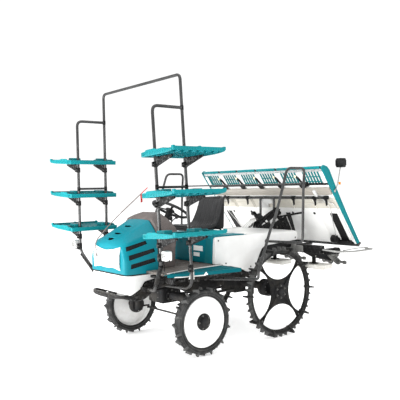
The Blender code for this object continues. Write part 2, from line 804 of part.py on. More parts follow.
def front_skirt():
    """White lower skirt: a wall round the nose with its edge stepped up behind."""
    half, corner = SKIRT_HALF_WIDTH, 0.070
    nose = HOOD_FRONT

    def wall_line(inset):
        reach, side = nose - inset, half - inset
        bend = corner - inset
        points = [(SKIRT_REAR, side)]
        points += arc((reach - bend, side - bend), bend, 90, 0, 4)
        return points

    outer, inner = wall_line(0), wall_line(SKIRT_WALL)
    outline = outer + [(x, -y) for x, y in reversed(outer)]
    outline += [(x, -y) for x, y in inner]
    outline += list(reversed(inner))
    wall = plate([outline], SKIRT_BOTTOM, SKIRT_TOP, "xy")
    below = (
        (1.30, 0.50), (1.80, 0.50), (1.80, 0.632), (1.70, 0.620), (1.660, 0.604), (1.545, 0.662),
        (1.505, 0.722), (1.30, 0.752))
    low, high = SKIRT_TOP - 0.014, HOOD_BOTTOM - SEAT_GAP
    seats = both_sides(lambda: bar(
        (nose - 2 * SKIRT_WALL, HINGE_Y - 0.02, low), (nose, HINGE_Y + 0.02, high)))
    return fused([cut(wall, [plate([below], -0.6, 0.6)])] + seats)


def dash():
    """Dash with its column cowl, behind the hood."""
    front = HOOD_REAR - PANEL_GAP
    outline = (
        (front, DECK_TOP + SEAT_GAP), (front, 1.288), (1.225, 1.356), (1.175, 1.350), (DASH_REAR, 1.160),
        (1.110, 1.000), (1.120, DECK_TOP + SEAT_GAP))
    body = plate([outline], -DASH_HALF_WIDTH, DASH_HALF_WIDTH)
    half = ((DASH_HALF_WIDTH, 0.70), (DASH_HALF_WIDTH, 1.215), (0.215, 1.305), (0.100, 1.362))
    crown = [(y, z) for y, z in half] + [(-y, z) for y, z in reversed(half)]
    body = combined(body, plate([crown], DASH_REAR - 0.1, HOOD_REAR, "yz"), "INTERSECT")
    x, z = STEERING_CENTRE
    down = Vector((math.sin(STEERING_TILT), 0, -math.cos(STEERING_TILT)))
    start = Vector((x, 0, z)) + down * 0.030
    return fused([body, rod(start + down * COLUMN_LENGTH, start, COLUMN_RADIUS + 0.012, COLUMN_RADIUS)])


def steering_wheel():
    """Steering wheel: grip ring, hub and three spokes, lying flat before it is tilted."""
    shape = [(math.cos(t), math.sin(t)) for t in (2 * math.pi * i / 20 for i in range(20))]
    ring = pipe([(STEERING_WHEEL_RADIUS * c, STEERING_WHEEL_RADIUS * s, 0) for c, s in shape],
                STEERING_GRIP_RADIUS, closed=True)
    pieces = [ring, rod((0, 0, -0.030 + SEAT_GAP), (0, 0, 0.004), 0.034, 0.040, 16)]
    for index in range(3):
        turn = math.radians(120 * index + 180)
        rim = (STEERING_WHEEL_RADIUS * math.cos(turn), STEERING_WHEEL_RADIUS * math.sin(turn), 0)
        pieces.append(rod((0, 0, -0.010), rim, 0.010, 0.007, 8))
    return fused(pieces)


DECK_EDGE = (
    # where the deck meets the left step: x, y
    (DECK_REAR, 0.518), (1.030, 0.540), (DECK_FRONT - 0.03, 0.632))


def deck():
    """Deck from under the seat box to a stretch beside each side of the hood."""
    side = HOOD_HALF_WIDTH + 0.012
    under = COVER_HALF_WIDTH - FENDER_WALL - SEAT_GAP
    half = [(SEAT_BOX_REAR, 0.0), (SEAT_BOX_REAR, under), (DECK_REAR, under)]
    half += DECK_EDGE
    half += [
        (DECK_FRONT, 0.600), (DECK_FRONT, side), (HOOD_REAR - PANEL_GAP, side),
        (HOOD_REAR - PANEL_GAP, 0.0)]
    outline = half + [(x, -y) for x, y in reversed(half[1:-1])]
    return plate([outline], DECK_TOP - DECK_THICKNESS, DECK_TOP, "xy")


FENDER_ARCH = (
    # the side panel's lower edge, from the step back over the wheel: x, z
    (0.560, 0.785), (0.449, 0.755), (0.338, 0.706), (0.250, 0.722), (0.172, 0.866), (0.135, 0.930),
    (0.095, 0.956))


def step_plate():
    """Left side step, outboard of the deck."""
    outline = [(x, y + SEAT_GAP) for x, y in DECK_EDGE]
    outline += [(1.405, 0.650), (1.330, 0.690), (1.100, 0.745), (0.740, 0.805), (0.700, 0.795)]
    return plate([outline], STEP_TOP - STEP_THICKNESS, STEP_TOP, "xy")


def seat_box():
    """Raised box under the seat."""
    side = COVER_HALF_WIDTH - FENDER_WALL - SEAT_GAP
    outline = (
        (SEAT_BOX_REAR, DECK_TOP + SEAT_GAP), (SEAT_BOX_FRONT, DECK_TOP + SEAT_GAP),
        (SEAT_BOX_FRONT, COVER_TOP - 0.02), (SEAT_BOX_FRONT - 0.010, COVER_TOP), (SEAT_BOX_REAR, COVER_TOP))
    return plate([outline], -side, side)


def fender():
    """Left rear side panel, standing on the deck and cut away beside the wheel."""
    deck = DECK_TOP + SEAT_GAP
    outline = [
        (SEAT_BOX_FRONT - 0.013, COVER_TOP), (SEAT_BOX_FRONT + 0.002, COVER_TOP - 0.018),
        (FENDER_NOSE, 0.860), (FENDER_NOSE, deck), (DECK_REAR - SEAT_GAP, deck),
        (DECK_REAR - 0.012, STEP_TOP - 0.008)]
    outline += FENDER_ARCH
    outline += [(COVER_REAR, FENDER_TAIL), (COVER_REAR, COVER_TOP)]
    return plate([outline], COVER_HALF_WIDTH - FENDER_WALL, COVER_HALF_WIDTH)


def rear_cover():
    """Top cover behind the seat, over the lift links."""
    side = COVER_HALF_WIDTH - FENDER_WALL - SEAT_GAP
    return bar((COVER_REAR, -side, COVER_TOP - COVER_WALL), (SEAT_BOX_REAR - SEAT_GAP, side, COVER_TOP))


def seat():
    """Driver's seat: cushion and back on a low pedestal."""
    base = COVER_TOP + SEAT_GAP
    outline = (
        (0.500, base), (0.760, base), (0.760, base + 0.030), (0.850, base + 0.045), (0.850, base + 0.090),
        (0.620, base + 0.075), (0.520, base + 0.105), (0.400, base + 0.385), (0.345, base + 0.405),
        (0.302, base + 0.385), (0.440, base + 0.060), (0.500, base + 0.030))
    return plate([outline], -SEAT_HALF_WIDTH, SEAT_HALF_WIDTH)


def post_point(x, z):
    """A point on a left rack post that stands at x at the reference level."""
    rise = z - POST_LEVEL
    return (x + LEAN_AHEAD * rise, POST_Y - LEAN_INWARD * rise, z)


def shelf_floor(level, y):
    """Height of a shelf's underside where it has risen outboard."""
    return level + SHELF_SLOPE * (y - SHELF_INNER)


def rack():
    """Left rack: two posts, the loop between them and the left half of the bar across the top."""
    loop = RACK_HEIGHT - LOOP_DROP
    front = [
        (FRONT_CROSS_X, FRONT_CROSS_HALF + SEAT_GAP, FRONT_CROSS_Z), (FRONT_CROSS_X, 0.500, FRONT_CROSS_Z),
        post_point(POST_FRONT_X, 0.940), post_point(POST_FRONT_X, loop), post_point(POST_REAR_X, loop)]
    head = post_point(POST_REAR_X, RACK_HEIGHT)
    rear = [
        (1.262, RAIL_Y + RAIL_WIDTH / 2 + SEAT_GAP, 0.655), (1.262, 0.300, 0.655), (1.262, 0.690, 0.672),
        post_point(POST_REAR_X, 0.740), head, (head[0], SEAT_GAP / 2, RACK_HEIGHT)]
    rail = rod(
        post_point(POST_FRONT_X, RACK_RAIL_HEIGHT), post_point(POST_REAR_X, RACK_RAIL_HEIGHT),
        POST_RADIUS * 0.9, steps=8)
    return fused([pipe(rear, POST_RADIUS), pipe(front, POST_RADIUS), rail])


def shelf_bracket(x, level):
    """Arm under a shelf, from the outer side of one post."""
    def against_post(z):
        return post_point(x, z)[1] + POST_RADIUS + SEAT_GAP
    start, foot = against_post(level), against_post(level - BRACKET_DEPTH)
    tip = start + BRACKET_REACH
    low = shelf_floor(level, tip)
    outline = (
        (start, shelf_floor(level, start) + 0.002), (tip, low + 0.002), (tip, low - 0.012),
        (foot + 0.020, level - BRACKET_DEPTH), (foot, level - BRACKET_DEPTH))
    middle = post_point(x, level)[0]
    return plate([outline], middle - BRACKET_THICKNESS / 2, middle + BRACKET_THICKNESS / 2, "yz")


def shelf(level):
    """Left shelf: a sloped tray with a raised rim, holed for the posts, on its two arms."""
    height = SHELF_THICKNESS + SHELF_RIM_HEIGHT
    inner, outer = shelf_floor(level, SHELF_INNER), shelf_floor(level, SHELF_OUTER)
    tip = SHELF_OUTER - SHELF_TIP
    outline = (
        (SHELF_INNER, inner), (tip, shelf_floor(level, tip)), (SHELF_OUTER, outer + SHELF_TIP_RISE),
        (SHELF_OUTER, outer + height), (SHELF_INNER, inner + height))
    body = plate([outline], SHELF_REAR, SHELF_FRONT, "yz")
    rim = SHELF_RIM_WIDTH
    low, high = SHELF_INNER + rim, SHELF_OUTER - rim
    floor = (
        (low, shelf_floor(level, low) + SHELF_THICKNESS), (high, shelf_floor(level, high) + SHELF_THICKNESS),
        (high, outer + 2 * height), (low, outer + 2 * height))
    pocket = plate([floor], SHELF_REAR + rim, SHELF_FRONT - rim, "yz")
    holes = []
    posts = (POST_FRONT_X, POST_REAR_X)
    for x in posts:
        low, high = post_point(x, level - 0.05), post_point(x, level + 0.10)
        holes.append(rod(low, high, POST_RADIUS + 0.004, steps=12))
    tray = cut(body, [pocket, gathered(holes)])
    return combined(tray, gathered([shelf_bracket(x, level) for x in posts]), "UNION")


def lamp():
    """Left work lamp: its box and the arm to the front post."""
    px, py, _ = post_point(POST_FRONT_X, 1.0)
    start = py + POST_RADIUS + SEAT_GAP
    length, depth, height = LAMP_SIZE
    low = Vector((px - 0.030, LAMP_Y, LAMP_BOTTOM))
    body = bar(low, low + Vector((length, depth, height)))
    arm = bar((px - 0.010, start, LAMP_BOTTOM + 0.008), (px + 0.010, LAMP_Y + 0.010, LAMP_BOTTOM + 0.034))
    return fused([body, arm])


def hand_rail():
    """Left rear hand rail: a bent loop beside the wheel."""
    y = HAND_RAIL_Y
    route = (
        (0.680, RAIL_Y + RAIL_WIDTH / 2 + SEAT_GAP, 0.650), (0.680, 0.300, 0.650), (0.680, y, 0.725),
        (0.679, y, 0.790), (0.520, y, 1.160), (0.440, y, 1.300), (0.355, y, 1.520), (0.270, y, HAND_RAIL_TOP),
        (0.020, y, HAND_RAIL_TOP), (0.040, y, 1.540), (0.062, y, 1.040),
        (0.062, COVER_HALF_WIDTH + SEAT_GAP, 1.030))
    return pipe(route, HAND_RAIL_RADIUS, 0.045)


def cross_bar():
    """Thin bar that ties the two hand rails."""
    x, z = CROSS_BAR
    half = HAND_RAIL_Y - HAND_RAIL_RADIUS - SEAT_GAP
    return cross_rod(x - 0.008, z, -half, half, CROSS_BAR_RADIUS, steps=8)


def marker_rod():
    """Sighting rod that lies back over the hood."""
    x, y, z = MARKER_PIVOT
    route = (
        (x, y, z), (x + 0.005, y - 0.010, z + 0.150), (1.478, y - 0.025, 1.300), (1.094, y - 0.025, 1.594))
    barrel = cross_rod(x, z, y - MARKER_HALF, y + MARKER_HALF, MARKER_BARREL)
    return fused([pipe(route, 0.005, 0.035), barrel])


def link_end(raised, pivot):
    """The far pivot of a lift link at its resting angle."""
    return (pivot[0] - LINK_LENGTH * math.cos(raised), pivot[1] + LINK_LENGTH * math.sin(raised))


def lift_link(pivot, arms):
    """A lift link: a cross boss at each end and its arms between them."""
    far = link_end(LINK_RAISED, pivot)
    half = HITCH_PLATE_Y - SEAT_GAP
    pieces = [
        cross_rod(pivot[0], pivot[1], -half, half, LINK_BOSS_RADIUS),
        cross_rod(far[0], far[1], -half, half, LINK_BOSS_RADIUS)]
    for y in arms:
        pieces.append(rod((pivot[0], y, pivot[1]), (far[0], y, far[1]), LINK_TUBE_RADIUS, steps=10))
    return fused(pieces)


def guard_side():
    """Left end guard of the planting unit."""
    end = -TAIL_REACH + GUARD_RADIUS
    route = (
        (-0.380, BEAM_HALF_WIDTH - 0.03, 0.905), (-0.420, GUARD_Y, 0.890), (-0.700, GUARD_Y, GUARD_Z),
        (end, GUARD_Y, GUARD_Z), (end, GUARD_Y - 0.110, GUARD_Z))
    return pipe(route, GUARD_RADIUS, 0.04)


def planting_beam():
    """Planting unit's cross beam with its hitch plates and end guards."""
    beam = bar((BEAM_REAR, -BEAM_HALF_WIDTH, BEAM_BOTTOM), (BEAM_FRONT, BEAM_HALF_WIDTH, BEAM_TOP))
    x, z = link_end(LINK_RAISED, LINK_PIVOT)
    inner, outer = HITCH_PLATE_Y, HITCH_PLATE_Y + 0.012
    outline = (
        (x + 0.030, z - 0.028), (x + 0.030, z + LINK_SPREAD + 0.026), (x - 0.030, z + LINK_SPREAD + 0.026),
        (BEAM_REAR + 0.02, BEAM_TOP - 0.01), (BEAM_REAR + 0.02, BEAM_BOTTOM + 0.01))
    plates = both_sides(lambda: plate([outline], inner, outer))
    return fused([beam] + plates + both_sides(guard_side))


def planting_case(y):
    """Chain case from the beam to the planting rotors' shaft, with the stay of its float."""
    start = BEAM_REAR - SEAT_GAP
    outline = [(start, BEAM_TOP - 0.005), (start, BEAM_BOTTOM - 0.010)]
    outline += [(-0.560, 0.790)]
    outline += arc((ROTOR_X, ROTOR_Z), CASE_END_RADIUS, 280, 90, 6)
    outline += [(-0.560, 0.880)]
    half = CASE_WIDTH / 2
    body = plate([outline], y - half, y + half)
    stay = bar((-0.590, y - 0.022, FLOAT_TOP + SEAT_GAP), (-0.560, y + 0.022, 0.840))
    reach = (ROTOR_SHAFT_RADIUS + SEAT_GAP) / math.cos(math.pi / 16)
    bore = cross_rod(ROTOR_X, ROTOR_Z, y - CASE_WIDTH, y + CASE_WIDTH, reach, steps=16)
    return cut(fused([body, stay]), [bore])


def rotor(y):
    """Planting rotor: a carrier each side of its case on one shaft, with an arm at each end."""
    half = CASE_WIDTH / 2
    inner = half + RUNNING_GAP
    outer = inner + ROTOR_CARRIER
    pieces = [cross_rod(ROTOR_X, ROTOR_Z, y - inner - 0.01, y + inner + 0.01, ROTOR_SHAFT_RADIUS, steps=16)]
    lean = math.radians(35)
    along = (math.cos(lean), math.sin(lean))
    for side in (1, -1):
        low, high = sorted((y + side * inner, y + side * outer))
        outline = []
        for end, base in ((1, 35 - 90), (-1, 35 + 90)):
            reach = end * ROTOR_ARM_RADIUS
            centre = (ROTOR_X + reach * along[0], ROTOR_Z + reach * along[1])
            outline += arc(centre, ROTOR_END_RADIUS, base, base + 180, 5)
        pieces.append(plate([outline], low, high))
        for end in (1, -1):
            x = ROTOR_X + end * ROTOR_ARM_RADIUS * along[0]
            z = ROTOR_Z + end * ROTOR_ARM_RADIUS * along[1]
            low, high = sorted((y + side * (outer - 0.01), y + side * (ROW_OFFSET + 0.012)))
            pieces.append(cross_rod(x, z, low, high, 0.022))
            tip = Vector((x, 0, z)) - Vector((ROTOR_X, 0, ROTOR_Z))
            claw = tip.normalized() * CLAW_REACH
            row = y + side * ROW_OFFSET
            pieces.append(rod(
                (x, row, z), (ROTOR_X + claw.x, row, ROTOR_Z + claw.z), 0.012, 0.006, 6))
    return fused(pieces)


def float_board(y):
    """Planting float: a flat board with its nose turned up and its corners rounded."""
    front = FLOAT_FRONT + 0.004
    outline = (
        (FLOAT_REAR, FLOAT_BOTTOM + 0.006), (FLOAT_FRONT - 0.08, FLOAT_BOTTOM),
        (FLOAT_FRONT, FLOAT_BOTTOM + 0.038), (front, FLOAT_TOP + 0.012), (FLOAT_FRONT - 0.05, FLOAT_TOP),
        (FLOAT_REAR, FLOAT_TOP))
    body = plate([outline], y - FLOAT_HALF_WIDTH, y + FLOAT_HALF_WIDTH)
    plan = []
    corners = (
        # middle of the corner's arc, its radius and the turn where it starts
        (front - FLOAT_NOSE_RADIUS, 1, FLOAT_NOSE_RADIUS, 90),
        (front - FLOAT_NOSE_RADIUS, -1, FLOAT_NOSE_RADIUS, 0),
        (FLOAT_REAR + FLOAT_TAIL_RADIUS, -1, FLOAT_TAIL_RADIUS, -90),
        (FLOAT_REAR + FLOAT_TAIL_RADIUS, 1, FLOAT_TAIL_RADIUS, 180))
    for x, side, radius, start in corners:
        centre = (x, y + side * (FLOAT_HALF_WIDTH - radius))
        plan += arc(centre, radius, start, start - 90, 3)
    return combined(body, plate([plan], FLOAT_BOTTOM - 0.02, FLOAT_TOP + 0.02, "xy"), "INTERSECT")


def table_frame_axes():
    """Slope and facing of the seedling table in the side view."""
    slope = Vector((TABLE_TOP[0] - TABLE_FOOT[0], TABLE_TOP[1] - TABLE_FOOT[1]))
    length = slope.length
    slope.normalize()
    return slope, Vector((-slope.y, slope.x)), length


def on_table(along, out):
    """A point of the side view by its distance up the table and out from its board."""
    slope, facing, _ = table_frame_axes()
    place = Vector(TABLE_FOOT) + slope * along + facing * out
    return (place.x, place.y)


def table_bar(along_low, along_high, out_low, out_high, low, high):
    """A straight bar of the table, given in the table's own directions."""
    outline = [
        on_table(along_low, out_low), on_table(along_high, out_low), on_table(along_high, out_high),
        on_table(along_low, out_high)]
    return plate([outline], low, high)


def table_support():
    """Arms from the beam, the foot rail that the table slides on and the masts of its head tube."""
    rail = table_bar(-0.030, -SEAT_GAP, -0.012, 0.040, -TABLE_HALF_WIDTH, TABLE_HALF_WIDTH)
    head = on_table(0.656, -0.030)
    reach = TABLE_HALF_WIDTH - HEAD_TUBE_INSET
    pieces = [rail, cross_rod(head[0], head[1], -reach, reach, SUPPORT_RADIUS)]
    for side in (1, -1):
        y = side * SUPPORT_Y
        start = BEAM_REAR - SEAT_GAP
        pieces.append(rod((start, y, ARM_Z), (TABLE_FOOT[0] - 0.026, y, ARM_Z), SUPPORT_RADIUS, steps=10))
        mast = side * MAST_Y
        pieces.append(pipe(
            ((head[0], y, ARM_Z), (head[0], y, ARM_Z + 0.065), (head[0], mast, ARM_Z + 0.150),
             (head[0], mast, head[1])), SUPPORT_RADIUS * 0.9, 0.03))
    return fused(pieces)


def table_board():
    """Seedling table's board with the ribs between its lanes."""
    side = TABLE_HALF_WIDTH - TABLE_SIDE_WALL - SEAT_GAP
    board = table_bar(0.000, TABLE_BOARD_LENGTH, 0.000, TABLE_BOARD, -side, side)
    ribs = []
    lane = 2 * side / LANES
    for index in range(1, LANES):
        y = -side + lane * index
        ribs.append(table_bar(
            0.010, TABLE_BOARD_LENGTH - 0.010, TABLE_BOARD - 0.004, TABLE_BOARD + RIB_HEIGHT,
            y - RIB_WIDTH / 2, y + RIB_WIDTH / 2))
    return combined(board, gathered(ribs), "UNION")


def table_frame():
    """Side plates of the seedling table and the slatted extension between their heads."""
    _, _, length = table_frame_axes()
    outer = TABLE_HALF_WIDTH
    inner = outer - TABLE_SIDE_WALL
    start = TABLE_BOARD_LENGTH + 0.012
    side_outline = [
        on_table(0.0, -0.004), on_table(length, -0.004), on_table(length, 0.040),
        on_table(length - 0.10, 0.090), on_table(0.55, 0.075), on_table(0.0, 0.050)]
    pieces = both_sides(lambda: plate([side_outline], inner, outer))
    pieces.append(table_bar(length - 0.028, length, 0.0, 0.022, -inner - 0.005, inner + 0.005))
    pieces.append(table_bar(start, start + 0.024, 0.0, 0.022, -inner - 0.005, inner + 0.005))
    slats = []
    count = LANES * SLATS_PER_LANE
    pitch = 2 * inner / count
    for index in range(count):
        y = -inner + pitch * (index + 0.5)
        slats.append(table_bar(
            start + 0.010, length - 0.014, 0.004, 0.016, y - SLAT_WIDTH / 2, y + SLAT_WIDTH / 2))
    return combined(fused(pieces), gathered(slats), "UNION")


def rear_lamp():
    """Rear work lamp on a thin stem at the table's left side."""
    y = TABLE_HALF_WIDTH + SEAT_GAP + REAR_LAMP_STEM
    _, _, length = table_frame_axes()
    foot, knee = on_table(length - 0.328, 0.020), on_table(length - 0.288, 0.102)
    x, z = knee[0] - 0.043, knee[1] + 0.190
    stem = pipe(((foot[0], y, foot[1]), (knee[0], y, knee[1]), (x, y, z)), REAR_LAMP_STEM, 0.02)
    body = bar((x - 0.034, y - 0.045, z - 0.020), (x + 0.021, y + 0.055, z + 0.078))
    return fused([stem, body])


def chassis(machine):
    """Everything that stays with the frame."""
    fixed = (
        ("frame", frame(), "black"), ("front_axle", front_axle(), "cast"), ("rear_axle", rear_axle(), "cast"),
        ("engine", engine(), "cast"), ("gearbox", gearbox(), "cast"), ("front_skirt", front_skirt(), "white"),
        ("dash", dash(), "mat"), ("deck", deck(), "mat"), ("seat_box", seat_box(), "teal"),
        ("rear_cover", rear_cover(), "white"), ("seat", seat(), "vinyl"),
        ("cross_bar", cross_bar(), "black"))
    for name, piece, surface in fixed:
        keep(name, piece, surface, machine)
    paired = (("step", step_plate, "teal"), ("fender", fender, "white"), ("lamp", lamp, "lamp"),
              ("hand_rail", hand_rail, "black"), ("rack", rack, "black"))
    for name, make, surface in paired:
        left, right = both_sides(make)
        keep(f"{name}_left", left, surface, machine)
        keep(f"{name}_right", right, surface, machine)
    for number, level in enumerate(SHELF_LEVELS, start=1):
        left, right = both_sides(lambda: shelf(level))
        keep(f"shelf_left_{number}", left, "teal", machine)
        keep(f"shelf_right_{number}", right, "teal", machine)


def front_end(machine):
    """Hood, its lamp panel, the sighting rod and the steering wheel."""
    about = (HOOD_FRONT + 0.016, 0, SKIRT_TOP + 0.003)
    lid = holder("hood_axis", about, machine)
    keep("hood", hood(), "teal", lid, about)
    keep("headlamp_panel", headlamp_panel(), "white", lid, about)
    fold = holder("marker_axis", Vector(MARKER_PIVOT) - Vector(about), lid)
    keep("marker_rod", marker_rod(), "red", fold, MARKER_PIVOT)
    x, z = STEERING_CENTRE
    wheel = holder("steering_axis", (x, 0, z), machine)
    wheel.rotation_euler = (0, -STEERING_TILT, 0)
    keep("steering_wheel", steering_wheel(), "vinyl", wheel)


def rear_end(machine):
    """Lift links, planting unit, rotors and the sliding seedling table."""
    lower = (LINK_PIVOT[0], 0, LINK_PIVOT[1])
    upper = (LINK_PIVOT[0], 0, LINK_PIVOT[1] + LINK_SPREAD)
    lower_axis = holder("lower_link_axis", lower, machine)
    upper_axis = holder("upper_link_axis", upper, machine)
    keep("lower_link", lift_link(LINK_PIVOT, (-0.130, 0.130)), "black", lower_axis, lower)
    keep("upper_link", lift_link((upper[0], upper[2]), (0.0,)), "black", upper_axis, upper)
    far = link_end(LINK_RAISED, LINK_PIVOT)
    about = (far[0], 0, far[1])
    unit = holder("unit_axis", Vector(about) - Vector(lower), lower_axis)
    keep("planting_beam", planting_beam(), "black", unit, about)
    keep("table_support", table_support(), "black", unit, about)
    for name, y in CASE_PLACES:
        keep(f"planting_case_{name}", planting_case(y), "cast", unit, about)
        keep(f"float_{name}", float_board(y), "white", unit, about)
        centre = (ROTOR_X, y, ROTOR_Z)
        spin = holder(f"rotor_axis_{name}", Vector(centre) - Vector(about), unit)
        keep(f"rotor_{name}", rotor(y), "steel", spin, centre)
    foot = (TABLE_FOOT[0], 0, TABLE_FOOT[1])
    slide = holder("table_axis", Vector(foot) - Vector(about), unit)
    keep("table_board", table_board(), "white", slide, foot)
    keep("table_frame", table_frame(), "teal", slide, foot)
    keep("rear_lamp", rear_lamp(), "black", slide, foot)


def build():
    """The whole machine, hung so that the middle of its length is over the origin."""
    machine = holder("transplanter", (-MIDDLE_X, 0, 0))
    knuckles = steering(machine)
    running_gear(machine, knuckles)
    chassis(machine)
    front_end(machine)
    rear_end(machine)


build()
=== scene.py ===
"""Looks of a six-row ride-on rice transplanter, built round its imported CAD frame.

Metres. Places are written from the rear axle's centre line on the ground, +X ahead, +Y to the
machine's left, +Z up, as in the CAD source. A finished piece is moved into the frame's own place.
"""

from math import acos, atan, atan2, copysign, cos, exp, pi, radians, sin

import bmesh
import bpy
from mathutils import Matrix, Vector


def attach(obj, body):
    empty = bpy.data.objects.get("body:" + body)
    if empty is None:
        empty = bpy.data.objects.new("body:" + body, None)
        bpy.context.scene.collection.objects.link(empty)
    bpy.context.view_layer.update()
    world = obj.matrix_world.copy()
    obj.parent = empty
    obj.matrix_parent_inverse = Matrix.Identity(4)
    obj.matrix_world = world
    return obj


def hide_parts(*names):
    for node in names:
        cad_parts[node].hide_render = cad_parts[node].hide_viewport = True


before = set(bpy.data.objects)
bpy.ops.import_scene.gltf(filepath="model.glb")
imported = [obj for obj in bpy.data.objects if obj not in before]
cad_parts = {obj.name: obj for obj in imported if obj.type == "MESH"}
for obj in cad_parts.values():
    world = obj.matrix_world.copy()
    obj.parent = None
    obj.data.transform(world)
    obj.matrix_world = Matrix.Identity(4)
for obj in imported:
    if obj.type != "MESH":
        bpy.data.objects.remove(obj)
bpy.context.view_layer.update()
AXLE = Vector((-0.3375, 0.0, 0.0))

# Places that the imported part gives
WHEELBASE = 1.055
FRONT_TRACK = 0.622
REAR_TRACK = 0.619
FRONT_AXLE_Z = 0.325
REAR_AXLE_Z = 0.475
POST_FRONT, POST_REAR, POST_Y, POST_LEVEL = 1.604, 1.2825, 0.735, 1.3
LEAN_AHEAD, LEAN_IN = 0.0235, 0.0365
RACK_TUBE = 0.0146
RACK_TOP, LOOP_TOP, RACK_RAIL = 2.606, 2.303, 1.594
SHELF_LEVELS = (1.15, 1.5, 1.85)
SHELF_REAR, SHELF_FRONT, SHELF_INNER = 1.18, 1.74, 0.665
SHELF_SLOPE = 0.06
STEERING = (0.95, 0.0, 1.365)
STEERING_TILT = radians(28)
TABLE_FOOT = Vector((-0.864, 0.936))
SLOPE = Matrix(((0.583, 0, -0.8125, TABLE_FOOT.x), (0, 1, 0, 0), (0.8125, 0, 0.583, TABLE_FOOT.y),
                (0, 0, 0, 1)))
LANE, FIRST_LANE = 0.321, -0.963
ROTOR_X, ROTOR_Z = -0.86, 0.755
UNITS = (("left", 0.6), ("middle", 0.0), ("right", -0.6))
SIDES = (("left", 1), ("right", -1))


def clear():
    """Object mode, with nothing selected."""
    if bpy.context.object and bpy.context.object.mode != "OBJECT":
        bpy.ops.object.mode_set(mode="OBJECT")
    bpy.ops.object.select_all(action="DESELECT")


def taken(piece):
    """The piece alone selected and active."""
    clear()
    bpy.context.view_layer.objects.active = piece
    piece.select_set(True)
    return piece


def fixed(piece=None):
    """The piece with its place, turn and size written into its mesh."""
    piece = taken(piece or bpy.context.object)
    bpy.ops.object.transform_apply(location=True, rotation=True, scale=True)
    return piece


class Editing:
    """Edit mode on one piece, with its faces, edges or points picked by place."""

    def __init__(self, piece):
        self.piece = piece

    def __enter__(self):
        taken(self.piece)
        bpy.ops.object.mode_set(mode="EDIT")
        return self

    def __exit__(self, *problem):
        bpy.ops.object.mode_set(mode="OBJECT")

    def faces(self, test):
        """Selects each face whose centre and normal pass."""
        return self._pick("FACE", lambda shape: [f for f in shape.faces if test(f.calc_center_median(),
                f.normal)])

    def edges(self, test):
        """Selects each edge whose two ends pass."""
        return self._pick("EDGE", lambda shape: [e for e in shape.edges if test(e.verts[0].co,
                e.verts[1].co)])

    def points(self, test):
        """Selects each point whose place passes."""
        return self._pick("VERT", lambda shape: [v for v in shape.verts if test(v.co)])

    def everything(self):
        """Selects all of it."""
        bpy.ops.mesh.select_mode(type="VERT")
        bpy.ops.mesh.select_all(action="SELECT")

    def _pick(self, kind, found):
        bpy.ops.mesh.select_mode(type=kind)
        bpy.ops.mesh.select_all(action="DESELECT")
        shape = bmesh.from_edit_mesh(self.piece.data)
        shape.normal_update()
        picked = found(shape)
        for part in picked:
            part.select = True
        shape.select_flush_mode()
        bmesh.update_edit_mesh(self.piece.data)
        return len(picked)


def modified(piece, kind, **settings):
    """The piece after a modifier, applied."""
    taken(piece)
    step = piece.modifiers.new("step", kind)
    for key, value in settings.items():
        setattr(step, key, value)
    bpy.ops.object.modifier_apply(modifier=step.name)
    return piece


def eased(piece, width, steps=2, angle=30):
    """The piece with its sharp edges rounded over."""
    return modified(piece, "BEVEL", width=width, segments=steps, limit_method="ANGLE",
                    angle_limit=radians(angle), harden_normals=False)


def recessed(piece, test, *steps, each=False):
    """The piece with the faces that pass inset and pushed in, once for each (width, depth)."""
    with Editing(piece) as work:
        work.faces(test)
        for width, depth in steps:
            bpy.ops.mesh.inset(thickness=width, use_individual=each)
            bpy.ops.mesh.extrude_region_shrink_fatten(TRANSFORM_OT_shrink_fatten={"value": -depth})
    return piece


def walled(piece, wall, offset=-1.0, even=True):
    """An open skin with its faces turned outwards and a wall put to it."""
    with Editing(piece) as work:
        work.everything()
        bpy.ops.mesh.normals_make_consistent(inside=False)
    return modified(piece, "SOLIDIFY", thickness=wall, offset=offset, use_even_offset=even)


def carved(piece, cutter, operation="DIFFERENCE"):
    """The piece less the cutter, or only what they share."""
    modified(piece, "BOOLEAN", operation=operation, solver="EXACT", object=cutter)
    bpy.data.objects.remove(cutter)
    return piece


def block(low, high, edge=0.0, steps=2):
    """A box between two corners, its edges rounded over."""
    clear()
    low, high = Vector(low), Vector(high)
    bpy.ops.mesh.primitive_cube_add(size=1, location=(low + high) / 2, scale=high - low)
    piece = fixed()
    return eased(piece, edge, steps) if edge else piece


def bar(start, end, radius, sides=16, tip=None, edge=0.0):
    """A round bar or a cone between two points."""
    clear()
    start, end = Vector(start), Vector(end)
    along = end - start
    turn = Vector((0, 0, 1)).rotation_difference(along).to_euler()
    bpy.ops.mesh.primitive_cone_add(vertices=sides, radius1=radius, radius2=radius if tip is None else tip,
            depth=along.length, location=(start + end) / 2, rotation=turn)
    piece = fixed()
    return eased(piece, edge, 2, 50) if edge else piece


def across(x, z, low, high, radius, sides=24, edge=0.0):
    """A round bar across the machine."""
    return bar((x, low, z), (x, high, z), radius, sides, edge=edge)


def arc(radius, first, last, steps, centre=(0.0, 0.0)):
    """Points on an arc between two angles in degrees."""
    angles = [radians(first + (last - first) * step / steps) for step in range(steps + 1)]
    return [(centre[0] + radius * cos(a), centre[1] + radius * sin(a)) for a in angles]


PLANES = {"xz": (0, 2, 1), "xy": (0, 1, 2), "yz": (1, 2, 0)}


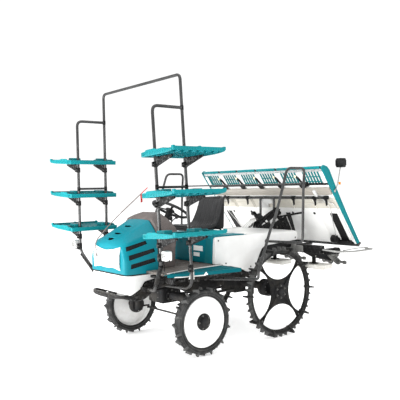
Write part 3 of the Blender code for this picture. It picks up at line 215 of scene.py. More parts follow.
def panel(outline, low, high, plane="xz", edge=0.0, steps=1):
    """A flat outline pulled out between two levels across its plane."""
    clear()
    bpy.ops.mesh.primitive_circle_add(vertices=len(outline), fill_type="NGON")
    piece = fixed()
    first, second, third = PLANES[plane]
    for point, (a, b) in zip(piece.data.vertices, outline):
        place = [0.0, 0.0, 0.0]
        place[first], place[second], place[third] = a, b, low
        point.co = place
    pull = [0.0, 0.0, 0.0]
    pull[third] = high - low
    with Editing(piece) as work:
        work.everything()
        bpy.ops.mesh.extrude_region_move(TRANSFORM_OT_translate={"value": pull})
        work.everything()
        bpy.ops.mesh.normals_make_consistent(inside=False)
    return eased(piece, edge, steps) if edge else piece


def turned(profile, centre, axis="Y", steps=64, start=0.0, sweep=360.0):
    """A closed profile of (radius, offset) spun about an axis through the centre."""
    clear()
    bpy.ops.mesh.primitive_circle_add(vertices=len(profile), fill_type="NOTHING")
    piece = fixed()
    for point, (radius, offset) in zip(piece.data.vertices, profile):
        point.co = (radius, 0.0, offset)
    with Editing(piece) as work:
        work.everything()
        bpy.ops.mesh.spin(steps=steps, angle=radians(sweep), center=(0, 0, 0), axis=(0, 0, 1),
                          use_auto_merge=False)
        work.everything()
        bpy.ops.mesh.remove_doubles(threshold=0.00002)
        bpy.ops.mesh.normals_make_consistent(inside=False)
    stand = {"X": Matrix.Rotation(radians(90), 4, "Y"), "Z": Matrix.Identity(4),
             "Y": Matrix.Rotation(radians(-90), 4, "X")}[axis]
    piece.data.transform(Matrix.Rotation(radians(start), 4, "Z"))
    piece.data.transform(Matrix.Translation(Vector(centre)) @ stand)
    return piece


def bent(corners, bend, steps=5):
    """A route with each inner corner taken round."""
    route = [Vector(corners[0])]
    for before, corner, after in zip(corners, corners[1:], corners[2:]):
        before, corner, after = Vector(before), Vector(corner), Vector(after)
        trim = min(bend, (before - corner).length * 0.45, (after - corner).length * 0.45)
        start = corner + (before - corner).normalized() * trim
        end = corner + (after - corner).normalized() * trim
        for step in range(steps + 1):
            share = step / steps
            route.append(start.lerp(corner, share).lerp(corner.lerp(end, share), share))
    route.append(Vector(corners[-1]))
    return route


def tube(corners, radius, bend=0.05, closed=False, round_steps=4):
    """A bent tube or wire through corners."""
    clear()
    route = [Vector(corner) for corner in corners] if closed else bent(corners, bend)
    bpy.ops.curve.primitive_bezier_circle_add(radius=1)
    curve = bpy.context.object.data
    curve.splines.clear()
    curve.bevel_depth = radius
    curve.bevel_resolution = round_steps
    curve.use_fill_caps = not closed
    spline = curve.splines.new("POLY")
    spline.points.add(len(route) - 1)
    for point, place in zip(spline.points, route):
        point.co = (*place, 1)
    spline.use_cyclic_u = closed
    bpy.ops.object.convert(target="MESH")
    piece = bpy.context.object
    with Editing(piece) as work:
        work.everything()
        bpy.ops.mesh.remove_doubles(threshold=0.00002)
    return fixed(piece)


def skin(columns, rows, place, wall=0.0, offset=-1.0):
    """A grid laid over a form, each point put by place(u, v), and given a wall."""
    clear()
    bpy.ops.mesh.primitive_grid_add(x_subdivisions=columns, y_subdivisions=rows, size=2)
    piece = fixed()
    for point in piece.data.vertices:
        point.co = place((point.co.x + 1) / 2, (point.co.y + 1) / 2)
    with Editing(piece) as work:
        work.everything()
        bpy.ops.mesh.remove_doubles(threshold=0.00002)
    if wall:
        modified(piece, "SOLIDIFY", thickness=wall, offset=offset, use_even_offset=True)
    return piece


def copy_of(piece, matrix=None):
    """A copy with its own mesh."""
    made = piece.copy()
    made.data = piece.data.copy()
    bpy.context.scene.collection.objects.link(made)
    if matrix is not None:
        made.data.transform(matrix)
        if matrix.determinant() < 0:
            made.data.flip_normals()
    return made


def other_side(piece):
    """The same piece on the other side of the machine."""
    return copy_of(piece, Matrix.Scale(-1, 4, (0, 1, 0)))


def both(piece):
    """The piece and its mirror, as one."""
    return joined([piece, other_side(piece)])


def joined(pieces):
    """Several meshes as one piece."""
    clear()
    for piece in pieces:
        piece.select_set(True)
    bpy.context.view_layer.objects.active = pieces[0]
    bpy.ops.object.join()
    return bpy.context.object


def around(centre, axis, count, piece, first=0.0):
    """Copies of a piece spaced evenly round an axis, as one."""
    centre = Vector(centre)
    made = []
    for index in range(count):
        turn = Matrix.Rotation(radians(first) + 2 * pi * index / count, 4, axis)
        made.append(copy_of(piece, Matrix.Translation(centre) @ turn @ Matrix.Translation(-centre)))
    bpy.data.objects.remove(piece)
    return joined(made)


def row(piece, shifts):
    """Copies of a piece at each shift, as one."""
    made = [copy_of(piece, Matrix.Translation(shift)) for shift in shifts]
    bpy.data.objects.remove(piece)
    return joined(made)


BOLT_SHAPES = {}


def bolt(place, direction, radius=0.009, height=0.007):
    """A hexagon head on a washer. Each size is shaped once and then copied."""
    if (radius, height) not in BOLT_SHAPES:
        washer = bar((0, 0, 0), (0, 0, height * 0.25), radius * 1.45, 16)
        head = bar((0, 0, height * 0.25), (0, 0, height), radius, 6)
        pattern = joined([washer, eased(head, radius * 0.12, 1, 20)])
        BOLT_SHAPES[radius, height] = pattern.data.copy()
        bpy.data.objects.remove(pattern)
    shape = BOLT_SHAPES[radius, height].copy()
    stand = Vector((0, 0, 1)).rotation_difference(Vector(direction)).to_matrix().to_4x4()
    shape.transform(Matrix.Translation(place) @ stand)
    piece = bpy.data.objects.new("bolt", shape)
    bpy.context.scene.collection.objects.link(piece)
    return piece


def shaded(piece, angle=35):
    """Smooth shading up to an edge angle."""
    taken(piece)
    bpy.ops.object.shade_smooth_by_angle(angle=radians(angle))
    return piece


def dress(piece, name, body, finish, *nodes, slot=None, angle=35):
    """Names a finished piece, puts it in the frame's place and hangs it on its body."""
    shaded(piece, angle)
    piece.data.transform(Matrix.Translation(AXLE))
    piece.name = name
    piece.data.name = name
    piece.data.materials.clear()
    piece.data.materials.append(finish)
    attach(piece, body)
    slot or SLOTS[finish.name]
    if nodes:
        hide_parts(*nodes)
    return piece


def pair(piece, name, body, finish, *nodes):
    """Dresses a left piece and its mirror for the right side."""
    for made, side in ((piece, "left"), (other_side(piece), "right")):
        dress(made, f"{name}_{side}", body.format(side), finish, *[node.format(side) for node in nodes])


# Materials


class Wire:
    """A shader socket that Python's operators add Math nodes to."""

    def __init__(self, recipe, socket):
        self.recipe, self.socket = recipe, socket

    def __add__(self, other):
        return self.recipe.maths("ADD", self, other)

    def __sub__(self, other):
        return self.recipe.maths("SUBTRACT", self, other)

    def __rsub__(self, other):
        return self.recipe.maths("SUBTRACT", other, self)

    def __mul__(self, other):
        return self.recipe.maths("MULTIPLY", self, other)

    __radd__ = __add__
    __rmul__ = __mul__


class Recipe:
    """One material while it is mixed: a Principled shader and the nodes that feed it."""

    def __init__(self, name, **constants):
        self.material = bpy.data.materials.new(name)
        self.material.use_nodes = True
        self.tree = self.material.node_tree
        self.shader = self.tree.nodes["Principled BSDF"]
        for key, value in constants.items():
            self.shader.inputs[key.replace("_", " ").title().replace("Ior", "IOR")].default_value = value
        self.coordinates = self.node("ShaderNodeTexCoord", output="Object")

    def feed(self, socket, value):
        """Links a wire to a socket, or sets the socket's own value."""
        if isinstance(value, Wire):
            self.tree.links.new(value.socket, socket)
        else:
            socket.default_value = value

    def node(self, kind, settings=None, inputs=None, output=0):
        """Adds a node: its settings first, then what its sockets take."""
        made = self.tree.nodes.new(kind)
        for key, value in (settings or {}).items():
            if key == "stops":
                ramp = made.color_ramp
                for stop, (position, colour) in zip((ramp.elements[0], ramp.elements[1]), (value[0],
                        value[-1])):
                    stop.position, stop.color = position, (*colour, 1)
                for position, colour in value[1:-1]:
                    ramp.elements.new(position).color = (*colour, 1)
            else:
                setattr(made, key, value)
        for key, value in (inputs or {}).items():
            self.feed(made.inputs[key], value)
        return Wire(self, made.outputs[output])

    def maths(self, operation, first, second):
        """A Math node."""
        return self.node("ShaderNodeMath", {"operation": operation}, {0: first, 1: second})

    def spread(self, value, low, high, start=0.0, end=1.0):
        """Value between low and high, eased from start to end."""
        return self.node("ShaderNodeMapRange", {"interpolation_type": "SMOOTHSTEP"}, {"Value": value,
                "From Min": low, "From Max": high, "To Min": start, "To Max": end})

    def stretched(self, scale):
        """Object coordinates, scaled."""
        return self.node("ShaderNodeMapping", None, {"Vector": self.coordinates, "Scale": scale})

    def noise(self, scale, detail=3.0, roughness=0.5, at=None):
        """Soft noise, about 0.3 to 0.7."""
        return self.node("ShaderNodeTexNoise", None, {"Vector": at or self.coordinates, "Scale": scale,
                "Detail": detail, "Roughness": roughness}, "Fac")

    def cells(self, scale, feature="F1", at=None):
        """Distance within round cells."""
        return self.node("ShaderNodeTexVoronoi", {"feature": feature}, {"Vector": at or self.coordinates,
                "Scale": scale}, "Distance")

    def axis(self, name):
        """One object coordinate."""
        return self.node("ShaderNodeSeparateXYZ", None, {"Vector": self.coordinates}, name)

    def blend(self, first, second, share):
        """Two colours mixed."""
        mixed = self.tree.nodes.new("ShaderNodeMix")
        mixed.data_type = "RGBA"
        self.feed(mixed.inputs["Factor"], share)
        for socket, value in ((mixed.inputs[6], first), (mixed.inputs[7], second)):
            self.feed(socket, value if isinstance(value, Wire) else (*value, 1))
        return Wire(self, mixed.outputs[2])

    def edges(self, low=0.52, high=0.6):
        """Where the surface turns over an outer edge."""
        point = self.node("ShaderNodeNewGeometry", output="Pointiness")
        return self.spread(point, low, high)

    def bump(self, height, strength, distance, under=None):
        """A Bump node's normal."""
        inputs = {"Height": height, "Strength": strength, "Distance": distance}
        if under is not None:
            inputs["Normal"] = under
        return self.node("ShaderNodeBump", None, inputs)

    def done(self, colour, roughness=None, normal=None, metallic=None):
        """The material with what varies over it joined to the shader."""
        for key, value in (("Base Color", colour), ("Roughness", roughness), ("Normal", normal), ("Metallic",
                metallic)):
            if value is None:
                continue
            if key == "Base Color" and not isinstance(value, Wire):
                value = (*value, 1)
            self.feed(self.shader.inputs[key], value)
        return self.material


DUST = (0.3, 0.26, 0.2)


def dust_mask(mix, top, amount):
    """Field dust that thins out above a height."""
    low = mix.spread(mix.axis("Z"), top, top - 0.35)
    return low * mix.spread(mix.noise(7.0, 6.0, 0.65), 0.42, 0.7) * amount


def moulded(name, colour, roughness=0.34, dust=0.25, dust_top=1.0, shine=0.22):
    """Moulded plastic: faint flow mottling, specks, orange peel, scuffs and low dust."""
    mix = Recipe(name, ior=1.47, specular_ior_level=shine)
    mottle = mix.spread(mix.noise(2.6, 4.0), 0.35, 0.65)
    tone = mix.blend([c * 0.9 for c in colour], [min(1, c * 1.06) for c in colour], mottle)
    speck = mix.spread(mix.noise(260.0, 2.0), 0.6, 0.75) * 0.1
    tone = mix.blend(tone, [c * 0.6 for c in colour], speck)
    dirt = dust_mask(mix, dust_top, dust)
    tone = mix.blend(tone, DUST, dirt)
    scuffs = mix.noise(14.0, 8.0, 0.7)
    rough = roughness + mix.spread(scuffs, 0.4, 0.75) * 0.16 + dirt * 0.6
    peel = mix.bump(mix.noise(180.0, 2.0), 0.1, 0.0008)
    return mix.done(tone, rough, mix.bump(mix.noise(9.0, 3.0), 0.06, 0.0012, peel))


def coated(name, colour, roughness=0.42, metallic=0.0, dust=0.06, grain=1.0, chipped=0.7, shine=0.35):
    """Powder coat over steel: fine texture, lighter worn edges and dust."""
    mix = Recipe(name, ior=1.5, specular_ior_level=shine)
    mottle = mix.spread(mix.noise(5.0, 5.0), 0.35, 0.68)
    tone = mix.blend([c * 0.8 for c in colour], [c * 1.35 for c in colour], mottle)
    chips = mix.edges(0.53, 0.6) * mix.spread(mix.noise(45.0, 5.0, 0.7), 0.5, 0.6)
    tone = mix.blend(tone, (0.1, 0.1, 0.1), chips * chipped)
    dirt = dust_mask(mix, 0.95, dust)
    tone = mix.blend(tone, DUST, dirt)
    rough = roughness + mix.spread(mix.noise(22.0, 6.0), 0.35, 0.7) * 0.18 + dirt * 0.4
    texture = mix.bump(mix.noise(420.0, 3.0), 0.22 * grain, 0.0006)
    return mix.done(tone, rough, texture, metallic)


def cast(name, colour, roughness=0.55):
    """Painted casting: coarse sand texture with oily dark stains."""
    mix = Recipe(name, ior=1.5, specular_ior_level=0.15)
    stain = mix.spread(mix.noise(6.0, 6.0, 0.6), 0.38, 0.66)
    tone = mix.blend([c * 0.55 for c in colour], [c * 1.25 for c in colour], stain)
    tone = mix.blend(tone, [c * 2.2 for c in colour], mix.edges(0.53, 0.62) * 0.5)
    dirt = dust_mask(mix, 0.9, 0.07)
    tone = mix.blend(tone, DUST, dirt)
    sand = mix.noise(160.0, 5.0, 0.6)
    return mix.done(tone, roughness + sand * 0.2, mix.bump(sand, 0.45, 0.0016))


def rubber(name, colour=(0.015, 0.015, 0.015)):
    """Tyre rubber: matt, with fine pores, scuffs and patches of dried mud."""
    mix = Recipe(name, ior=1.45, specular_ior_level=0.25)
    bloom = mix.spread(mix.noise(11.0, 6.0, 0.6), 0.36, 0.68)
    tone = mix.blend([c * 0.7 for c in colour], [c * 2.1 for c in colour], bloom)
    tone = mix.blend(tone, (0.1, 0.1, 0.098), mix.edges(0.52, 0.6) * 0.55)
    mud = mix.spread(mix.noise(26.0, 7.0, 0.7), 0.56, 0.72) * 0.3
    tone = mix.blend(tone, (0.17, 0.155, 0.13), mud)
    pores = mix.noise(240.0, 4.0)
    scars = mix.bump(mix.noise(34.0, 5.0, 0.65), 0.25, 0.003)
    return mix.done(tone, 0.72 + pores * 0.22, mix.bump(pores, 0.3, 0.0012, scars))


def matting(name, colour):
    """Rubber deck mat: small raised studs in rows, lighter on their tops and darker in the gaps between, with
    worn patches and dust.
    """
    mix = Recipe(name, ior=1.45)
    studs = mix.cells(46.0, at=mix.stretched((1, 1, 0.02)))
    top = mix.spread(studs, 0.46, 0.24)
    wear = mix.spread(mix.noise(5.0, 5.0), 0.4, 0.66)
    tone = mix.blend([c * 0.75 for c in colour], [c * 1.45 for c in colour], top * 0.7 + wear * 0.3)
    tone = mix.blend(tone, (0.2, 0.18, 0.15), mix.spread(mix.noise(17.0, 7.0), 0.52, 0.72) * 0.3)
    fine = mix.bump(mix.noise(300.0, 3.0), 0.25, 0.0008)
    return mix.done(tone, 0.62 + mix.noise(40.0) * 0.25, mix.bump(top, 0.55, 0.0025, fine))


def grained(name, colour, roughness=0.5, grain=260.0, depth=0.35):
    """Grained moulding or vinyl: fine leather-like cells and soft sheen."""
    mix = Recipe(name, ior=1.46, specular_ior_level=0.25)
    cell = mix.cells(grain, "DISTANCE_TO_EDGE")
    hills = mix.spread(cell, 0.0, 0.22)
    tone = mix.blend([c * 0.62 for c in colour], [c * 1.25 for c in colour], hills)
    tone = mix.blend(tone, [min(1, c * 2.0 + 0.02) for c in colour], mix.spread(mix.noise(8.0, 5.0), 0.5,
            0.75) * 0.35)
    folds = mix.bump(mix.noise(16.0, 4.0), 0.18, 0.004)
    rough = roughness + mix.spread(mix.noise(9.0, 5.0), 0.35, 0.7) * 0.14
    return mix.done(tone, rough, mix.bump(hills, depth, 0.0009, folds))


def metal(name, colour, roughness=0.3, brush=(40, 40, 4), spots=0.15):
    """Plated or drawn steel: fine lines, with faint tarnish."""
    mix = Recipe(name)
    lines = mix.noise(60.0, 4.0, 0.6, at=mix.stretched(brush))
    tarnish = mix.spread(mix.noise(12.0, 6.0), 0.5, 0.75) * spots
    tone = mix.blend([c * 0.85 for c in colour], colour, mix.spread(lines, 0.35, 0.65))
    tone = mix.blend(tone, (0.16, 0.13, 0.1), tarnish)
    return mix.done(tone, roughness + lines * 0.18 + tarnish, mix.bump(lines, 0.08, 0.0006), 1.0 - tarnish)


def painted(name, colour, roughness=0.22, dust=0.35, dust_top=0.9):
    """Gloss paint on pressed steel, with faint haze and dust low down."""
    mix = Recipe(name, ior=1.5, coat_weight=0.4, coat_roughness=0.08)
    haze = mix.spread(mix.noise(4.0, 5.0), 0.35, 0.7)
    tone = mix.blend([c * 0.93 for c in colour], colour, haze)
    dirt = dust_mask(mix, dust_top, dust)
    tone = mix.blend(tone, DUST, dirt)
    rough = roughness + mix.spread(mix.noise(18.0, 6.0), 0.4, 0.7) * 0.15 + dirt * 0.6
    return mix.done(tone, rough, mix.bump(mix.noise(140.0, 2.0), 0.07, 0.0006))


def punched(name, colour):
    """Grey sheet with rows of small round holes, not cut but painted near black with a dent: painted shade in
    each hole.
    """
    mix = Recipe(name, metallic=0.6)
    holes = mix.cells(70.0)
    # Painted shade: each hole is only painted near black, standing in for the dark seen through it.
    dark = mix.spread(holes, 0.3, 0.24)
    tone = mix.blend(colour, (0.02, 0.02, 0.02), dark)
    return mix.done(tone, 0.42 + mix.noise(30.0) * 0.2, mix.bump(dark, 0.6, -0.002))


def clear_lens(name):
    """Ribbed clear lens."""
    mix = Recipe(name, ior=1.49, transmission_weight=0.72)
    ribs = mix.node("ShaderNodeTexWave", {"bands_direction": "Y"}, {"Vector": mix.coordinates, "Scale": 42.0,
            "Distortion": 0.0}, "Fac")
    return mix.done((0.88, 0.9, 0.92), 0.06 + mix.noise(40.0) * 0.08, mix.bump(ribs, 0.35, 0.0015))


TEAL = moulded("teal_moulding", (0.002, 0.15, 0.188), dust=0.05, shine=0.1)
TEAL_TRAY = moulded("teal_tray_moulding", (0.004, 0.18, 0.2), roughness=0.36, dust=0.0, shine=0.12)
TEAL_STEP = moulded("teal_step_moulding", (0.002, 0.105, 0.128), roughness=0.5, dust=0.05, shine=0.04)
# Painted shade: a darker teal for the band and louvres on the seat box's front and for the ribs under the
# shelves.
TEAL_PAINTED_SHADE = moulded("teal_painted_shade_moulding", (0.003, 0.15, 0.175), roughness=0.42, dust=0.1)
TEAL_PALE = moulded("teal_lattice_moulding", (0.012, 0.15, 0.155), roughness=0.45, dust=0.0, shine=0.12)
WHITE = moulded("white_moulding", (0.64, 0.64, 0.63), roughness=0.28, dust=0.22, dust_top=0.98)
# Painted light: a brighter white than WHITE, lifting the table boards, which face away from the lamps; also on
# the small blank plates and corner sheets.
WHITE_PAINTED_LIGHT = moulded("table_white_painted_light_moulding", (0.94, 0.94, 0.92), roughness=0.4, dust=0.05)
FLOAT_WHITE = moulded("float_moulding", (0.74, 0.73, 0.69), roughness=0.45, dust=0.45, dust_top=1.1)
BEIGE = painted("table_channel_paint", (0.36, 0.33, 0.29), roughness=0.34, dust=0.0)
BEIGE_PALE = moulded("recess_moulding", (0.62, 0.59, 0.52), roughness=0.42, dust=0.0)
KNOB = moulded("pale_knob_moulding", (0.78, 0.74, 0.52), roughness=0.25, dust=0.0)
BLACK = coated("black_powder_coat", (0.005, 0.005, 0.0052), shine=0.1)
# Painted sheen: black tube paint with its base colour lifted to dark grey, standing in for the grey highlights
# along the tubes, on top of the shader's own gloss.
SATIN_PAINTED_SHEEN = coated("satin_tube_coat", (0.04, 0.04, 0.04), roughness=0.24, metallic=0.45, grain=0.2, chipped=0.0)
BLACK_GLOSS = coated("black_tube_coat", (0.0035, 0.0035, 0.0037), roughness=0.34, grain=0.3, chipped=0.2,
                     shine=0.12)
BLACK_PLASTIC = grained("black_grained_plastic", (0.006, 0.006, 0.0065), 0.45, 420.0, 0.2)
CAST = cast("painted_casting", (0.01, 0.01, 0.0105))
CAST_PALE = cast("bare_casting", (0.11, 0.11, 0.105), 0.42)
TYRE = rubber("tyre_rubber")
RING_RUBBER = rubber("ring_rubber", (0.011, 0.011, 0.011))
MAT = matting("deck_mat_rubber", (0.085, 0.074, 0.066))
DASH = grained("dash_moulding", (0.098, 0.083, 0.078), 0.48, 380.0, 0.25)
VINYL = grained("seat_vinyl", (0.022, 0.022, 0.023), 0.42, 240.0, 0.4)
GRIP = grained("soft_grip", (0.02, 0.02, 0.021), 0.55, 520.0, 0.3)
ROD_COAT = painted("rod_coat", (0.16, 0.12, 0.105), roughness=0.34, dust=0.0)
STEEL = metal("plated_steel", (0.6, 0.6, 0.58))
STEEL_DULL = metal("dull_stem_steel", (0.36, 0.36, 0.35), 0.38)
BRIGHT = metal("bright_drawn_steel", (0.78, 0.78, 0.77), 0.2)
BOLTS = metal("zinc_bolts", (0.52, 0.51, 0.47), 0.34, spots=0.3)
DULL_BOLTS = metal("dull_bolts", (0.12, 0.12, 0.115), 0.42, spots=0.3)
WHEEL_WHITE = painted("wheel_enamel", (0.86, 0.86, 0.85), dust=0.2, dust_top=0.8)
RED = painted("red_enamel", (0.55, 0.022, 0.018), dust=0.0)
PUNCHED = punched("punched_strip", (0.52, 0.53, 0.53))
LENS = clear_lens("lamp_lens")
MIRROR = metal("lamp_reflector", (0.92, 0.92, 0.92), 0.08, spots=0.0)
AMBER = moulded("amber_lens", (0.75, 0.25, 0.02), roughness=0.12, dust=0.0)
HOSE = grained("hose_rubber", (0.016, 0.016, 0.016), 0.5, 700.0, 0.2)
SLOTS = {finish.name: slot for slot, finishes in (("teal_plastic", (TEAL, TEAL_TRAY, TEAL_STEP, TEAL_PAINTED_SHADE,
        TEAL_PALE)), ("white_plastic", (WHITE, WHITE_PAINTED_LIGHT, FLOAT_WHITE, BEIGE_PALE, KNOB)), ("white_paint",
        (WHEEL_WHITE, BEIGE)), ("black_paint", (BLACK, SATIN_PAINTED_SHEEN, BLACK_GLOSS, BLACK_PLASTIC)), ("cast_metal",
        (CAST, CAST_PALE)), ("bright_steel", (STEEL, STEEL_DULL, BRIGHT, BOLTS, DULL_BOLTS, ROD_COAT, PUNCHED,
        MIRROR)), ("lamp_housing", (DASH, LENS, AMBER)), ("tyre_rubber", (TYRE, RING_RUBBER)), ("grip",
        (GRIP, HOSE)), ("deck_mat", (MAT,)), ("seat_vinyl", (VINYL,)), ("red_paint", (RED,)))
         for finish in finishes}


# Wheels


def lug_ring(centre, count, make):
    """Lugs set one by one round a wheel, each a copy of the one that make(index) names."""
    kinds = {}
    made = []
    for index in range(count):
        key = make(index)
        if key[0] not in kinds:
            kinds[key[0]] = key[1]()
        turn = pi + 2 * pi * index / count
        made.append(copy_of(kinds[key[0]], Matrix.Translation(Vector(centre)) @ Matrix.Rotation(turn, 4,
                "Y")))
    for pattern in kinds.values():
        bpy.data.objects.remove(pattern)
    return joined(made)


def tread_lug(hand):
    """A slanted lug at the top of the front tyre, wide at its root, its crest narrow and stepped."""
    piece = block((-0.015, -0.034, 0.286), (0.015, 0.034, 0.3245))
    with Editing(piece) as work:
        work.faces(lambda c, n: n.z > 0.9)
        bpy.ops.transform.resize(value=(0.42, 0.9, 1))
        bpy.ops.mesh.inset(thickness=0.0016)
        bpy.ops.transform.translate(value=(0, 0, -0.0015))
    eased(piece, 0.0022, 1, 25)
    piece.data.transform(Matrix.Translation((0, hand * 0.0165, 0)) @ Matrix.Rotation(hand * radians(24), 4,
            "Z"))
    return piece


def front_wheel(name, side):
    """One front wheel: narrow lugged tyre on a dished disc with a bolted hub."""
    body = f"front_wheel_{name}"
    centre = (WHEELBASE, side * FRONT_TRACK, FRONT_AXLE_Z)
    tyre = turned([(0.2405, -0.03), (0.246, -0.036), (0.25, -0.043), (0.262, -0.047), (0.276, -0.0478),
                   (0.288, -0.046), (0.297, -0.04), (0.3015, -0.028), (0.303, -0.012), (0.303, 0.012),
                   (0.3015, 0.028), (0.297, 0.04), (0.288, 0.046), (0.276, 0.0478), (0.262, 0.047),
                   (0.25, 0.043), (0.246, 0.036), (0.2405, 0.03)], centre, steps=96)
    ribs = [turned([(r, s * 0.0468), (r + 0.002, s * 0.048), (r + 0.004, s * 0.0468),
                    (r + 0.002, s * 0.0455)], centre, steps=72) for r in (0.258, 0.281) for s in (1, -1)]
    lugs = lug_ring(centre, 24, lambda i: (i % 2, lambda: tread_lug(1 if i % 2 else -1)))
    dress(joined([tyre, lugs] + ribs), f"lugged_tyre_{name}", body, TYRE, f"front_tyre_{name}", angle=28)

    def out(points):
        return [(radius, side * offset) for radius, offset in points]
    disc = turned(out([(0.0005, 0.006), (0.06, 0.006), (0.082, 0.012), (0.15, 0.022), (0.196, 0.031),
                       (0.21, 0.037), (0.222, 0.036), (0.2325, 0.028), (0.2345, -0.024), (0.2395, -0.029),
                       (0.2395, 0.034), (0.236, 0.0395), (0.229, 0.0425), (0.214, 0.043), (0.202, 0.0415),
                       (0.192, 0.038), (0.148, 0.029), (0.084, 0.0195), (0.0005, 0.0185)]), centre, steps=96)
    ring = turned(out([(0.12, 0.0236), (0.124, 0.0275), (0.128, 0.025), (0.124, 0.022)]), centre, steps=72)
    dress(joined([disc, ring]), f"wheel_disc_{name}", body, WHEEL_WHITE, f"front_disc_{name}")
    hub = turned(out([(0.0005, -0.0615), (0.036, -0.0615), (0.036, 0.006), (0.0005, 0.006)]), centre,
                 steps=40)
    boss = turned(out([(0.0005, 0.018), (0.079, 0.018), (0.08, 0.024), (0.074, 0.03), (0.048, 0.033),
                       (0.044, 0.046), (0.036, 0.0515), (0.0005, 0.0518)]), centre, steps=48)
    dress(joined([hub, boss]), f"wheel_hub_{name}", body, CAST)
    y = centre[1] + side * 0.029
    nut = bolt((centre[0], y, centre[2] + 0.061), (0, side, 0), 0.0085, 0.012)
    nuts = around(centre, "Y", 5, nut, 18)
    valve = bar((centre[0], centre[1] + side * 0.03, centre[2] + 0.205), (centre[0], centre[1] + side * 0.047,
            centre[2] + 0.198), 0.004, 12, tip=0.003)
    dress(joined([nuts, valve]), f"wheel_nuts_{name}", body, DULL_BOLTS)


def paddle():
    """A broad paddle at the top of the rear ring: a waisted plate with a turned rim."""
    outline = [(-0.075, 0.463), (-0.062, 0.4745), (0.062, 0.4745), (0.075, 0.463), (0.056, 0.436),
               (0.032, 0.408), (0.026, 0.402), (-0.026, 0.402), (-0.032, 0.408), (-0.056, 0.436)]
    return recessed(panel(outline, -0.0065, 0.0065, "yz", 0.002, 2), lambda c, n: abs(n.x) > 0.95
                    and abs(c.x) > 0.006, (0.007, 0.0022), each=True)


def small_tooth():
    """A small tooth between the paddles, leaning to a crest."""
    piece = block((-0.0165, -0.026, 0.432), (0.0165, 0.026, 0.4742))
    with Editing(piece) as work:
        work.faces(lambda c, n: n.z > 0.9)
        bpy.ops.transform.resize(value=(0.36, 0.82, 1))
    return eased(piece, 0.002, 1, 25)


def web_outline(outer, reach, gap, steps=18):
    """The rear wheel's cross-shaped plate: four arms between four round gaps."""
    open_half = acos((outer ** 2 + reach ** 2 - gap ** 2) / (2 * outer * reach))
    meet = Vector((outer * cos(open_half) - reach, outer * sin(open_half)))
    sweep = atan2(meet.y, meet.x)
    points = []
    for quarter in range(4):
        turn = pi / 2 * quarter
        for step in range(steps + 1):
            angle = -sweep + (2 * sweep - 2 * pi) * step / steps
            x, z = reach + gap * cos(angle), gap * sin(angle)
            points.append((x * cos(turn) - z * sin(turn), x * sin(turn) + z * cos(turn)))
        for step in range(1, 3):
            angle = turn + open_half + (pi / 2 - 2 * open_half) * step / 3
            points.append((outer * cos(angle), outer * sin(angle)))
    return points


def rear_wheel(name, side):
    """One rear wheel: toothed ring with paddles on a cross-shaped plate."""
    body = f"rear_wheel_{name}"
    y = side * REAR_TRACK
    centre = (0, y, REAR_AXLE_Z)
    ring = turned([(0.4085, -0.012), (0.411, -0.0165), (0.424, -0.0185), (0.431, -0.0265), (0.441, -0.0275),
                   (0.4445, -0.024), (0.4445, 0.024), (0.441, 0.0275), (0.431, 0.0265), (0.424, 0.0185),
                   (0.411, 0.0165), (0.4085, 0.012)], centre, steps=120)
    teeth = lug_ring(centre, 40, lambda i: ("paddle", paddle) if i % 4 == 2 else ("tooth", small_tooth))
    dress(joined([ring, teeth]), f"toothed_ring_{name}", body, RING_RUBBER, f"rear_tyre_{name}", angle=28)
    outline = [(x, z + REAR_AXLE_Z) for x, z in web_outline(0.4075, 0.4, 0.272)]
    web = panel(outline, y - 0.0045, y + 0.0045, "xz", 0.0015, 2)
    edge = tube([(x, y, z) for x, z in arc(0.275, 115, 245, 16, (0.4, REAR_AXLE_Z))], 0.0062, 0.001)
    lips = around(centre, "Y", 4, edge)
    ribs = []
    for turn in (45, 135):
        rib = block((-0.372, y - 0.011, REAR_AXLE_Z - 0.006), (0.372, y + 0.011, REAR_AXLE_Z + 0.006), 0.003,
                    2)
        move = Matrix.Translation((0, 0, REAR_AXLE_Z))
        rib.data.transform(move @ Matrix.Rotation(radians(turn), 4, "Y") @ move.inverted())
        ribs.append(rib)
    rim = turned([(0.398, -0.01), (0.4083, -0.01), (0.4083, 0.01), (0.398, 0.01)], centre, steps=96)
    dress(joined([web, rim, lips] + ribs), f"cross_plate_{name}", body, BLACK_GLOSS, f"rear_web_{name}")
    inner = side * 0.5603 - y
    hub = turned([(0.0005, inner), (0.044, inner), (0.0495, inner + side * 0.006), (0.05, -side * 0.006),
                  (0.078, -side * 0.005), (0.082, side * 0.006), (0.08, side * 0.0125), (0.046, side * 0.016),
                  (0.042, side * 0.033), (0.034, side * 0.0395), (0.0005, side * 0.0398)], centre, steps=48)
    dress(hub, f"ring_wheel_hub_{name}", body, CAST)
    nut = bolt((0, y + side * 0.0135, REAR_AXLE_Z + 0.063), (0, side, 0), 0.009, 0.013)
    nuts = around(centre, "Y", 6, nut)
    inner_nut = bolt((0, y - side * 0.005, REAR_AXLE_Z + 0.068), (0, -side, 0), 0.008, 0.01)
    dress(joined([nuts, around(centre, "Y", 6, inner_nut)]), f"ring_wheel_nuts_{name}", body, DULL_BOLTS)
    clips = []
    for index in range(4):
        turn = radians(45 + 90 * index)
        at = Vector((0.386 * cos(turn), y + side * 0.007, REAR_AXLE_Z + 0.386 * sin(turn)))
        clips.append(bolt(at, (0, side, 0), 0.007, 0.009))
        clips.append(bolt(at - Vector((0, side * 0.014, 0)), (0, -side, 0), 0.007, 0.009))
    dress(joined(clips), f"ring_clips_{name}", body, DULL_BOLTS)


# Bonnet, lamp panel and sighting rod


